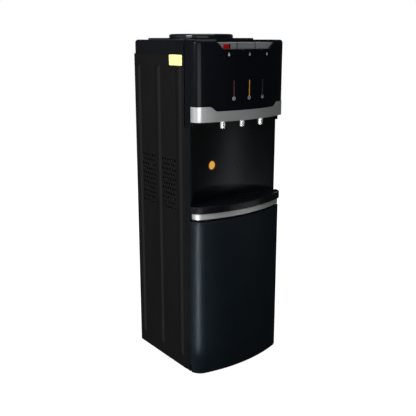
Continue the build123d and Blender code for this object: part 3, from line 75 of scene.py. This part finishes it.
# Finishes: dark and light tone, roughness range, and in millimetres the grain, the bump and the soft edge.
# stretch draws the grain out along an axis, cells makes it round cells, gapShadeMm paints shade into gaps
# of that width, and core and shadeSeam are the x and half width of a lit core or a seam of painted shade.
# Moulding grain, flake and brushed lines are finer in life: they are drawn at 0.7 to 0.9 mm so that they
# show
finishes = {
    # powder-coated sheet steel: satin black with a fine orange peel
    "painted_steel": dict(
        name="powderCoatedSteel", tones=("#040405", "#060607"), rough=(0.22, 0.26), specular=0.15,
        grainMm=1.6, bumpMm=0.02, edgeMm=0.5,
    ),
    # the same coat on the sheets facing away from the glow, painted lighter to stand in for light they lack
    "rear_steel_painted_lighter": dict(
        name="rearCoatPaintedLighter", tones=("#1d1d1e", "#242425"), rough=(0.26, 0.32), specular=0.2,
        grainMm=1.6, bumpMm=0.02, edgeMm=0.5,
    ),
    # moulded ABS with a spark-eroded satin texture
    "black_satin_plastic": dict(
        name="satinAbs", tones=("#040708", "#070b0c"), rough=(0.34, 0.42), specular=0.05,
        grainMm=0.9, bumpMm=0.02, edgeMm=0.7,
    ),
    # the niche's ABS: the same moulding texture with a blue-black pigment and more sheen
    "niche_plastic": dict(
        name="nicheAbs", tones=("#030607", "#050a0c"), rough=(0.24, 0.28), specular=0.16,
        grainMm=0.9, bumpMm=0.02, edgeMm=0.7,
    ),
    # the cover's ABS: the same texture in a dull black, with softer edges than the mouldings below it
    "cover_plastic": dict(
        name="coverAbs", tones=("#07080a", "#0a0b0e"), rough=(0.34, 0.42), specular=0.05,
        grainMm=0.9, bumpMm=0.02, edgeMm=1.2,
    ),
    # polished ABS: near black, a smooth low sheen, slight mould waviness
    "black_gloss_plastic": dict(
        name="pianoBlackAbs", tones=("#07090c", "#090b10"), rough=(0.17, 0.21), specular=0.035,
        grainMm=40.0, bumpMm=0.03, edgeMm=1.0,
    ),
    # semi-gloss ABS with a cold tint, which spreads the light at the door's corner
    "door_plastic": dict(
        name="doorAbs", tones=("#0a1115", "#0c141a"), rough=(0.42, 0.48), specular=0.045,
        grainMm=60.0, bumpMm=0.03, edgeMm=1.2,
    ),
    # gloss ABS of the tray, slightly blue
    "tray_plastic": dict(
        name="trayAbs", tones=("#07090d", "#0a0c11"), rough=(0.18, 0.24), specular=0.08,
        grainMm=30.0, bumpMm=0.02, edgeMm=3.0,
    ),
    # silver-painted ABS: fine aluminium flake under lacquer
    "silver_trim": dict(
        name="silverLacquer", tones=("#808181", "#8c8d8d"), rough=(0.28, 0.33), metallic=0.36,
        grainMm=0.8, bumpMm=0.006, edgeMm=0.6,
    ),
    # the same lacquer on the tray's strip, painted paler for light lost under the tray, and duller
    "silver_strip": dict(
        name="silverLacquerStrip", tones=("#858686", "#929393"), rough=(0.32, 0.38), metallic=0.3,
        grainMm=0.8, bumpMm=0.006, edgeMm=0.6,
    ),
    # grey ABS keys with a fine satin grain, and painted shade along the gaps between them and in hollows
    "key_plastic": dict(
        name="keyAbs", tones=("#5c5e61", "#67696c"), rough=(0.36, 0.44), specular=0.5,
        grainMm=0.7, bumpMm=0.012, edgeMm=0.8, gapShadeMm=7.0, shadeSeam=(keyGapX, 1.6 * mm),
    ),
    # red ABS slider, satin
    "red_plastic": dict(
        name="redAbs", tones=("#820405", "#9c0608"), rough=(0.34, 0.40), specular=0.04,
        grainMm=0.8, bumpMm=0.01, edgeMm=0.7,
    ),
    # tinted acrylic light bars: a coloured core between dark flanks
    "hot_lens": dict(
        name="redAcrylic", tones=("#5e282a", "#7a3e40"), rough=(0.12, 0.18), specular=0.5,
        grainMm=9.0, bumpMm=0.0, edgeMm=0.3, core=(-barX, 1.0 * mm),
    ),
    "warm_lens": dict(
        name="amberAcrylic", tones=("#b98a1e", "#d6a62c"), rough=(0.12, 0.18), specular=0.5,
        grainMm=9.0, bumpMm=0.0, edgeMm=0.3, core=(0.0, 1.0 * mm),
    ),
    "cold_lens": dict(
        name="blueAcrylic", tones=("#101d30", "#182b46"), rough=(0.12, 0.18), specular=0.5,
        grainMm=9.0, bumpMm=0.0, edgeMm=0.3, core=(barX, 1.0 * mm),
    ),
    # satin chrome plating on the tap spouts
    "tap_chrome": dict(
        name="satinChrome", tones=("#d6d8da", "#e4e5e7"), rough=(0.16, 0.22), metallic=1.0,
        grainMm=2.0, bumpMm=0.004, edgeMm=0.8,
    ),
    # gloss polystyrene of the bottle collar, blue-black
    "collar_plastic": dict(
        name="collarStyrene", tones=("#05080d", "#090d13"), rough=(0.08, 0.12), specular=0.2,
        grainMm=20.0, bumpMm=0.01, edgeMm=1.0,
    ),
    # natural polypropylene: milky, slightly waxy
    "white_plastic": dict(
        name="polypropylene", tones=("#d6d7d2", "#e2e3de"), rough=(0.38, 0.48), specular=0.4,
        grainMm=2.5, bumpMm=0.01, edgeMm=0.6,
    ),
    # moulded rubber feet: dull black with a fine bloom
    "rubber": dict(
        name="footRubber", tones=("#141414", "#1f1f1e"), rough=(0.72, 0.85), specular=0.25,
        grainMm=1.2, bumpMm=0.05, edgeMm=0.6,
    ),
    # translucent silicone tube: milky, soft sheen
    "silicone": dict(
        name="siliconeRubber", tones=("#c9ccc9", "#d9dbd8"), rough=(0.42, 0.52), specular=0.35,
        grainMm=3.0, bumpMm=0.02, edgeMm=0.3,
    ),
    # drawn stainless steel: fine lines round the part
    "stainless_steel": dict(
        name="drawnStainless", tones=("#a6a6a5", "#bcbcba"), rough=(0.26, 0.36), metallic=1.0,
        grainMm=0.9, stretch=(1, 1, 18), bumpMm=0.006, edgeMm=0.4,
    ),
    # zinc-plated sheet: dull silver with pale spangle
    "zinc_steel": dict(
        name="zincPlatedSteel", tones=("#8c9093", "#aab0b3"), rough=(0.38, 0.52), metallic=1.0,
        grainMm=14.0, bumpMm=0.01, edgeMm=0.4,
    ),
    # expanded polystyrene: bead outlines in a white mat surface
    "foam": dict(
        name="expandedFoam", tones=("#d3d3cd", "#eeeee9"), rough=(0.80, 0.92), specular=0.2,
        grainMm=4.5, bumpMm=0.25, edgeMm=0.8, cells=True,
    ),
    # extruded aluminium: bright with lines along the extrusion
    "aluminium": dict(
        name="extrudedAluminium", tones=("#b6b8ba", "#c9cbcc"), rough=(0.28, 0.38), metallic=1.0,
        grainMm=0.8, stretch=(1, 1, 0.06), bumpMm=0.008, edgeMm=0.4,
    ),
    # alumina plates of the cooling module
    "ceramic": dict(
        name="alumina", tones=("#dcdcd6", "#e8e8e3"), rough=(0.50, 0.60), specular=0.35,
        grainMm=0.8, bumpMm=0.01, edgeMm=0.3,
    ),
    # green solder mask over copper
    "circuit_board": dict(
        name="solderMask", tones=("#12401f", "#1c5a2d"), rough=(0.28, 0.40), specular=0.45,
        grainMm=3.5, bumpMm=0.03, edgeMm=0.3, cells=True,
    ),
    # glass-filled nylon of the fan
    "fan_plastic": dict(
        name="fanNylon", tones=("#121213", "#1b1b1c"), rough=(0.45, 0.56), specular=0.3,
        grainMm=1.5, bumpMm=0.02, edgeMm=0.5,
    ),
    # polished nylon rockers
    "rocker_plastic": dict(
        name="rockerNylon", tones=("#0f0f10", "#161617"), rough=(0.20, 0.28), specular=0.4,
        grainMm=3.0, bumpMm=0.008, edgeMm=0.6,
    ),
    # ferrite magnet in a moulded case
    "magnet": dict(
        name="ferrite", tones=("#232325", "#313134"), rough=(0.55, 0.68), specular=0.3,
        grainMm=1.0, bumpMm=0.03, edgeMm=0.6,
    ),
    # pale yellow paper label, matt and blank
    "paper": dict(
        name="labelPaper", tones=("#c8c684", "#d0ce8c"), rough=(0.62, 0.72), specular=0.25,
        grainMm=2.2, bumpMm=0.01, edgeMm=0.0,
    ),
    # grey screen ink of the small signs
    "ink": dict(
        name="greyInk", tones=("#7f8386", "#95999c"), rough=(0.45, 0.55), specular=0.3,
        grainMm=0.8, bumpMm=0.0, edgeMm=0.0,
    ),
}

# Shared by all finishes: a drift about a hand wide, and the spans of noise that become tone and gloss
texture = dict(
    driftMm=90, driftDetail=2.0, grainDetail=3.0, grainRough=0.55, grainShare=0.6,
    toneSpan=(0.45, 1.15), glossSpan=(0.3, 0.7), edgeSamples=6,
    # darkTone and darkFade also draw seams of painted shade; openSpan and gapShadeTone set the painted shade
    # in gaps
    darkTone="#08090d", darkFade=0.3 * mm, openSpan=(0.6, 0.97), gapShadeTone=0.02,
)


def grainPattern(tree, look, place):
    # noise, or the distance from the nearest cell's centre, at the size of the grain
    turned = addNode(
        tree, "ShaderNodeMapping", inputs={"Vector": place, "Scale": look.get("stretch", (1, 1, 1))}
    ).outputs[0]
    perMetre = 1 / (look["grainMm"] * mm)
    if look.get("cells"):
        cells = addNode(tree, "ShaderNodeTexVoronoi", inputs={"Vector": turned, "Scale": perMetre})
        return cells.outputs["Distance"]
    detail = {"Detail": texture["grainDetail"], "Roughness": texture["grainRough"]}
    noise = addNode(tree, "ShaderNodeTexNoise", inputs={"Vector": turned, "Scale": perMetre, **detail})
    return noise.outputs[0]


def darkBands(tree, look, place, tone):
    # distance from a line at x: dark beyond a core's half width, or painted shade within that of seams at
    # plus and minus x
    middle, half = look.get("core") or look["shadeSeam"]
    bright, dark = half - texture["darkFade"], half + texture["darkFade"]
    across = addNode(tree, "ShaderNodeSeparateXYZ", inputs={"Vector": place}).outputs["X"]
    if look.get("shadeSeam"):
        bright, dark = dark, bright
        across = addNode(tree, "ShaderNodeMath", {"operation": "ABSOLUTE"}, {0: across}).outputs[0]
    offset = addNode(tree, "ShaderNodeMath", {"operation": "SUBTRACT"}, {0: across, 1: middle}).outputs[0]
    distance = addNode(tree, "ShaderNodeMath", {"operation": "ABSOLUTE"}, {0: offset}).outputs[0]
    share = addNode(
        tree, "ShaderNodeMapRange", inputs={"Value": distance, "From Min": bright, "From Max": dark}
    ).outputs[0]
    shade = linearColour(texture["darkTone"])
    return addNode(tree, "ShaderNodeMix", {"data_type": "RGBA"}, {0: share, 6: tone, 7: shade}).outputs[2]


def paintGapShade(tree, look, tone):
    # painted shade: the tone falls where little of the surroundings is open, as in narrow gaps
    openness = addNode(
        tree, "ShaderNodeAmbientOcclusion", inputs={"Distance": look["gapShadeMm"] * mm}
    ).outputs["AO"]
    closed, opened = texture["openSpan"]
    unshaded = addNode(
        tree, "ShaderNodeMapRange",
        inputs={"Value": openness, "From Min": closed, "From Max": opened, "To Min": texture["gapShadeTone"]},
    ).outputs[0]
    return addNode(
        tree, "ShaderNodeMix", {"data_type": "RGBA", "blend_type": "MULTIPLY"}, {0: 1.0, 6: tone, 7: unshaded}
    ).outputs[2]


def makeFinish(look):
    # grain and drift together choose the tone, drift alone the gloss, and the grain raises the surface
    material = bpy.data.materials.new(look["name"])
    material.use_nodes = True
    tree = material.node_tree
    shader = tree.nodes["Principled BSDF"]
    shader.inputs["Metallic"].default_value = look.get("metallic", 0.0)
    shader.inputs["Specular IOR Level"].default_value = look.get("specular", 0.5)
    place = addNode(tree, "ShaderNodeTexCoord").outputs["Object"]
    grain = grainPattern(tree, look, place)
    drift = addNode(
        tree, "ShaderNodeTexNoise",
        inputs={"Vector": place, "Scale": 1 / (texture["driftMm"] * mm), "Detail": texture["driftDetail"]},
    ).outputs[0]
    blend = addNode(
        tree, "ShaderNodeMath", {"operation": "MULTIPLY_ADD"}, {0: grain, 1: texture["grainShare"], 2: drift}
    ).outputs[0]
    low, high = texture["toneSpan"]
    share = addNode(
        tree, "ShaderNodeMapRange", inputs={"Value": blend, "From Min": low, "From Max": high}
    ).outputs[0]
    deep, pale = [linearColour(hexText) for hexText in look["tones"]]
    tone = addNode(tree, "ShaderNodeMix", {"data_type": "RGBA"}, {0: share, 6: deep, 7: pale}).outputs[2]
    if look.get("core") or look.get("shadeSeam"):
        tone = darkBands(tree, look, place, tone)
    # painted shade in narrow gaps
    if look.get("gapShadeMm"):
        tone = paintGapShade(tree, look, tone)
    low, high = texture["glossSpan"]
    smooth, rough = look["rough"]
    gloss = addNode(
        tree, "ShaderNodeMapRange",
        inputs={"Value": drift, "From Min": low, "From Max": high, "To Min": smooth, "To Max": rough},
    ).outputs[0]
    tree.links.new(tone, shader.inputs["Base Color"])
    tree.links.new(gloss, shader.inputs["Roughness"])
    relief = {"Height": grain, "Distance": look["bumpMm"] * mm, "Strength": 1.0}
    if look["edgeMm"] > 0:
        # edges look rounded without a change to the mesh
        relief["Normal"] = addNode(
            tree, "ShaderNodeBevel", {"samples": texture["edgeSamples"]}, {"Radius": look["edgeMm"] * mm}
        ).outputs[0]
    if look["bumpMm"] > 0 or look["edgeMm"] > 0:
        tree.links.new(addNode(tree, "ShaderNodeBump", inputs=relief).outputs[0], shader.inputs["Normal"])
    return material


materials = {slot: makeFinish(look) for slot, look in finishes.items()}
# Pieces whose finish differs from that of their material slot
ownFinish = {
    "niche_panel": "niche_plastic", "top_cover": "cover_plastic",
    # the right and rear sheets take the copy of the side coat that is painted lighter
    "right_side_panel": "rear_steel_painted_lighter", "rear_panel": "rear_steel_painted_lighter",
}
for part in frame["record"]["subparts"]:
    mesh = nodes[part["node"]].data
    mesh.materials.clear()
    mesh.materials.append(materials[ownFinish.get(part["node"], part["material_slot"])])
print("finishes:", len(materials))


def joinRings(name, rings, material, ends="caps"):
    # rings is an array (ring, point, xyz), and quads join neighbouring rings. Caps close both ends, or only
    # the last one, or quads loop from the last ring back to the first
    count, around = rings.shape[:2]
    corner = np.arange(count * around).reshape(count, around)
    near = np.concatenate([corner, corner[:1]]) if ends == "loop" else corner
    after = np.roll(near, -1, axis=1)
    faces = np.stack([near[:-1], after[:-1], after[1:], near[1:]], axis=-1).reshape(-1, 4).tolist()
    if ends == "caps":
        faces.append(corner[0, ::-1].tolist())
    if ends != "loop":
        faces.append(corner[-1].tolist())
    mesh = bpy.data.meshes.new(name)
    mesh.from_pydata(rings.reshape(-1, 3).tolist(), [], faces)
    mesh.update()
    mesh.materials.append(material)
    made = bpy.data.objects.new(name, mesh)
    scene.collection.objects.link(made)
    return made


# Section of a printed film: heights up its edge as shares of the thickness, from a foot inside the wall,
# and the edge's rounding and the rings towards the middle as shares of the outline
filmSection = dict(heights=(-0.05, 0.8, 1.0), rounding=0.015, middle=(0.75, 0.5, 0.25))


def filmRings(outline, thickness, rounding, middle, hole=0.0):
    # the outline shrunk in steps: up the film's edge, then in to its centre or down the edge of its hole
    sizes = [1.0, 1.0, 1.0 - rounding]
    heights = list(filmSection["heights"])
    if hole:
        sizes += [hole + rounding, hole, hole]
        heights += heights[::-1]
    else:
        sizes += middle
        heights += [1.0] * len(middle)
    flat = np.array(sizes)[:, None, None] * outline
    lift = np.broadcast_to(np.array(heights)[:, None] * thickness, flat.shape[:2])
    return flat[..., 0], flat[..., 1], lift


def layFilm(name, rings, material, ends="caps"):
    # a closed film that stays on the cabinet
    film = joinRings(name, rings, material, ends)
    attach(film, "cabinet")


outlinePoints = 48
turn = np.linspace(0, 2 * np.pi, outlinePoints, endpoint=False)


def signedPower(value, power):
    # the size to a power, with the sign kept
    return np.sign(value) * np.abs(value) ** power


def roundedBox(halfWidth, halfHeight, squareness=2):
    # superellipse: half size times the cosine or sine to the power 2 / squareness, so 2 is a plain ellipse
    power = 2 / squareness
    across = halfWidth * signedPower(np.cos(turn), power)
    up = halfHeight * signedPower(np.sin(turn), power)
    return np.stack([across, up], 1)


def dropShape(width, height):
    # teardrop: the sine is narrowed by the squared sine of the half angle, so one end draws to a point
    return np.stack([width * np.sin(turn) * np.sin(turn / 2) ** 2, height * np.cos(turn) / 2], 1)


# Bowed front of the fascia and hollow back of the niche, as depth over the distance from the middle
fasciaBow = dict(radius=424.9 * mm, front=panelFront - 79.5 * mm)
nicheArc = dict(radius=500.96 * mm, back=panelFront + 5 * mm)


def onFascia(x):
    # circle bulging to the front
    return fasciaBow["front"] + fasciaBow["radius"] - np.sqrt(fasciaBow["radius"] ** 2 - x**2)


def onNiche(x):
    # circle hollow to the front
    return nicheArc["back"] - nicheArc["radius"] + np.sqrt(nicheArc["radius"] ** 2 - x**2)


def frontDecal(name, outline, x, z, wall, thickness, material, slot, hole=0.0):
    # film laid on a wall that curves with x, each ring lifted forwards by its height
    across, up, lift = filmRings(outline, thickness, filmSection["rounding"], filmSection["middle"], hole)
    rings = np.stack([x + across, wall(x + across) - lift, z + up], axis=-1)
    layFilm(name, rings, material, "loop" if hole else "caps")


# Small grey signs on the fascia: a drop under each key, and a ring with a dot under each light bar
signs = dict(
    dropX=68.7 * mm, dropZ=922.5 * mm, dropSize=(4.6 * mm, 10 * mm),
    spotX=barX, spotZ=barLow[2] - 4.5 * mm, ring=5.2 * mm, ringHole=0.66, dot=1.9 * mm, film=0.12 * mm,
)
inked = dict(wall=onFascia, thickness=signs["film"], material=materials["ink"], slot="black_gloss_plastic")
for side, label in ((-1, "hot"), (0, "warm"), (1, "cold")):
    drop = dropShape(*signs["dropSize"])
    frontDecal(f"{label}_drop_sign", drop, side * signs["dropX"], signs["dropZ"], **inked)
    for sign, radius, hole in (("ring", signs["ring"], signs["ringHole"]), ("dot", signs["dot"], 0.0)):
        circle = roundedBox(radius, radius)
        frontDecal(f"{label}_{sign}_sign", circle, side * signs["spotX"], signs["spotZ"], hole=hole, **inked)

# Round film label on the niche wall: yellow with a red rim
discLook = dict(
    x=-67 * mm, z=611 * mm, radius=13 * mm, film=0.2 * mm,
    # glow paints in light of the label's own
    core="#ffd44a", rim="#e8451c", rimWidth=1.8 * mm, rimFade=0.4 * mm, rough=0.4, glow=0.22,
)


def printedFilm(look):
    # screen-printed polyester: the distance from the middle parts core from rim, and a painted glow gives
    # back a little light of its own, though the label is no lamp
    material = bpy.data.materials.new("printedFilm")
    material.use_nodes = True
    tree = material.node_tree
    shader = tree.nodes["Principled BSDF"]
    shader.inputs["Roughness"].default_value = look["rough"]
    # painted glow: the label shines a little by itself
    shader.inputs["Emission Strength"].default_value = look["glow"]
    place = addNode(tree, "ShaderNodeTexCoord").outputs["Object"]
    centred = addNode(
        tree, "ShaderNodeMapping", {"vector_type": "TEXTURE"},
        {"Vector": place, "Location": (look["x"], float(onNiche(look["x"])), look["z"])},
    ).outputs[0]
    reach = addNode(tree, "ShaderNodeVectorMath", {"operation": "LENGTH"}, {0: centred}).outputs["Value"]
    border = look["radius"] - look["rimWidth"]
    share = addNode(
        tree, "ShaderNodeMapRange",
        inputs={"Value": reach, "From Min": border - look["rimFade"], "From Max": border + look["rimFade"]},
    ).outputs[0]
    core, rim = linearColour(look["core"]), linearColour(look["rim"])
    tone = addNode(tree, "ShaderNodeMix", {"data_type": "RGBA"}, {0: share, 6: core, 7: rim}).outputs[2]
    tree.links.new(tone, shader.inputs["Base Color"])
    tree.links.new(tone, shader.inputs["Emission Color"])
    return material


frontDecal(
    "niche_label", roundedBox(discLook["radius"], discLook["radius"]), discLook["x"], discLook["z"],
    onNiche, discLook["film"], printedFilm(discLook), "black_satin_plastic",
)

# Blank paper label on the left panel under the cover
labelLook = dict(
    x=-164.3 * mm, y=panelFront + 37 * mm, z=906.3 * mm, half=(30 * mm, 14.2 * mm), squareness=40,
    film=0.15 * mm, rounding=0.01, middle=(0.5,),
)
across, up, lift = filmRings(
    roundedBox(*labelLook["half"], labelLook["squareness"]),
    labelLook["film"], labelLook["rounding"], labelLook["middle"],
)
labelRings = np.stack([labelLook["x"] - lift, labelLook["y"] - across, labelLook["z"] + up], axis=-1)
layFilm("panel_label", labelRings, materials["paper"])
print("labels and signs laid")

# Camera at the photograph's viewing angle
view = dict(
    place=(-1.14829, -1.43353, 0.96244), yaw=38.4255, pitch=13.1566, sensor=36.0, lens=53.459, shiftY=-0.06
)
lensData = bpy.data.cameras.new("camera")
lensData.sensor_width = view["sensor"]
lensData.lens = view["lens"]
lensData.shift_y = view["shiftY"]
camera = bpy.data.objects.new("camera", lensData)
camera.location = view["place"]
camera.rotation_euler = (radians(90 - view["pitch"]), 0, radians(-view["yaw"]))
scene.collection.objects.link(camera)
scene.camera = camera

# Lamps: a soft box above, keys from the left and from behind, a fill, and strips and cards that only show as
# highlights. lit=False keeps a lamp off matt surfaces, and mirrored=False keeps it out of the reflections
lamps = {
    "topBox": dict(at=(-0.1, -0.3, 2.6), aim=(0, 0, 0.9), size=(1.6, 1.6), power=45),
    "fill": dict(at=(-1.6, -2.0, 1.6), aim=(0, -0.1, 0.5), size=(1.4, 1.4), power=20, mirrored=False),
    "collarCard": dict(
        at=(-1.85, -0.27, 1.38), aim=(-0.1, 0.05, 0.97), size=(0.6, 0.75), power=60, lit=False,
        colour=(0.86, 0.93, 1.0),
    ),
    "fasciaStrip": dict(
        at=(-0.98, -1.50, 0.72), aim=(-0.15, -0.13, 0.72), size=(1.2, 0.46), power=22.5, lit=False,
    ),
    "trayStrip": dict(
        at=(-0.80, -1.60, 0.085), aim=(-0.12, -0.15, 0.085), size=(1.3, 0.10), power=5.5, lit=False,
        colour=(0.85, 0.92, 1.0),
    ),
    "doorStrip": dict(
        at=(-0.326, -0.252, 0.195), aim=(-0.15, -0.12, 0.285), size=(0.10, 0.37), power=0.44, lit=False,
        spread=24,  # narrow, so that little of it falls on the side panel
    ),
    "leftKey": dict(at=(-2.2, -0.3, 1.4), aim=(-0.1, -0.1, 0.5), size=(1.2, 1.2), power=70, mirrored=False),
    "stripCard": dict(at=(0.9, -1.28, 0.05), aim=(0, -0.16, 0.05), size=(0.9, 0.09), power=1.4, lit=False),
    "rearKey": dict(at=(1.9, 1.9, 1.7), aim=(0, 0, 0.5), size=(1.2, 1.2), power=60, mirrored=False),
    "nicheCard": dict(
        at=(1.11, -1.50, 0.25), aim=(0, -0.084, 0.25), size=(0.35, 0.42), power=0.8, lit=False,
        colour=(0.93, 0.95, 1.0),
    ),
}
for name, lamp in lamps.items():
    data = bpy.data.lights.new(name, "AREA")
    data.shape = "RECTANGLE"
    data.size, data.size_y = lamp["size"]
    data.energy = lamp["power"]
    data.color = lamp.get("colour", (1, 1, 1))
    data.spread = radians(lamp.get("spread", 180))
    light = bpy.data.objects.new(name, data)
    light.location = lamp["at"]
    # turned so that the lamp's own downward axis points from its place to its aim
    towards = np.array(lamp["aim"]) - np.array(lamp["at"])
    flatReach = float(np.hypot(towards[0], towards[1]))
    light.rotation_euler = (
        float(np.arctan2(flatReach, -towards[2])), 0, float(np.arctan2(-towards[0], towards[1]))
    )
    light.visible_camera = False
    light.visible_diffuse = lamp.get("lit", True)
    light.visible_glossy = lamp.get("mirrored", True)
    scene.collection.objects.link(light)
print("camera and lamps:", len(lamps))

# World: white to the camera, soft grey light on matt surfaces, and for reflections a dim studio that is
# white behind the object and glows at its left. A zone spans cosines of the angle to its direction
studio = dict(
    zones=(
        dict(towards=(0.62, 0.78, 0.0), span=(0.88, 0.98), low=0.07, high=1.0),
        dict(towards=(-0.996, 0.087, 0.0), span=(0.5, 0.98), low=0.0, high=1.1),
    ),
    soft=0.25, white=1.0,
)


def studioWorld(look):
    # the zones' tones add up for mirrored rays; other rays take the soft light, and the camera takes white
    world = bpy.data.worlds.new("studio")
    world.use_nodes = True
    tree = world.node_tree
    path = addNode(tree, "ShaderNodeLightPath").outputs
    heading = addNode(tree, "ShaderNodeTexCoord").outputs["Generated"]
    tones = []
    for zone in look["zones"]:
        facing = addNode(
            tree, "ShaderNodeVectorMath", {"operation": "DOT_PRODUCT"}, {0: heading, 1: zone["towards"]}
        ).outputs["Value"]
        start, full = zone["span"]
        levels = {"From Min": start, "From Max": full, "To Min": zone["low"], "To Max": zone["high"]}
        tones.append(
            addNode(
                tree, "ShaderNodeMapRange", {"interpolation_type": "SMOOTHSTEP"}, {"Value": facing, **levels}
            ).outputs[0]
        )
    glow = addNode(tree, "ShaderNodeMath", {"operation": "ADD"}, dict(enumerate(tones))).outputs[0]
    rays = {0: path["Is Glossy Ray"], 1: path["Is Transmission Ray"]}
    mirrored = addNode(tree, "ShaderNodeMath", {"operation": "MAXIMUM"}, rays).outputs[0]
    shared = addNode(
        tree, "ShaderNodeMix", {"data_type": "FLOAT"}, {0: mirrored, 2: look["soft"], 3: glow}
    ).outputs[0]
    seen = path["Is Camera Ray"]
    strength = addNode(
        tree, "ShaderNodeMix", {"data_type": "FLOAT"}, {0: seen, 2: shared, 3: look["white"]}
    ).outputs[0]
    background = tree.nodes["Background"]
    background.inputs["Color"].default_value = (1, 1, 1, 1)
    tree.links.new(strength, background.inputs["Strength"])
    return world


scene.world = studioWorld(studio)

# Floor: a wide round sheet of paper, white to the camera, that keeps the shadow
floorLook = dict(radius=6.0, hub=0.02, rings=24, sides=96, tone="#646464", rough=0.9, glow=0.967)


def studioPaper(look):
    # matt paper whose own glow lifts it to white for the camera alone
    material = bpy.data.materials.new("studioPaper")
    material.use_nodes = True
    tree = material.node_tree
    shader = tree.nodes["Principled BSDF"]
    shader.inputs["Base Color"].default_value = linearColour(look["tone"])
    shader.inputs["Roughness"].default_value = look["rough"]
    shader.inputs["Specular IOR Level"].default_value = 0.0
    shader.inputs["Emission Color"].default_value = (1, 1, 1, 1)
    seen = addNode(tree, "ShaderNodeLightPath").outputs["Is Camera Ray"]
    glow = addNode(tree, "ShaderNodeMath", {"operation": "MULTIPLY"}, {0: seen, 1: look["glow"]}).outputs[0]
    tree.links.new(glow, shader.inputs["Emission Strength"])
    return material


# rings of a disc from the rim inwards, closer together near the middle: radius times the square of the share
floorTurn = np.linspace(0, 2 * np.pi, floorLook["sides"], endpoint=False)
floorReach = floorLook["radius"] * np.linspace(1, floorLook["hub"], floorLook["rings"])[:, None] ** 2
floorX, floorY = floorReach * np.cos(floorTurn), floorReach * np.sin(floorTurn)
floorRings = np.stack([floorX, floorY, np.zeros_like(floorX)], axis=-1)
floor = joinRings("floor", floorRings, studioPaper(floorLook), "last")
floor.visible_glossy = False  # low sides mirror the studio's glow, not the paper
print("stage set")
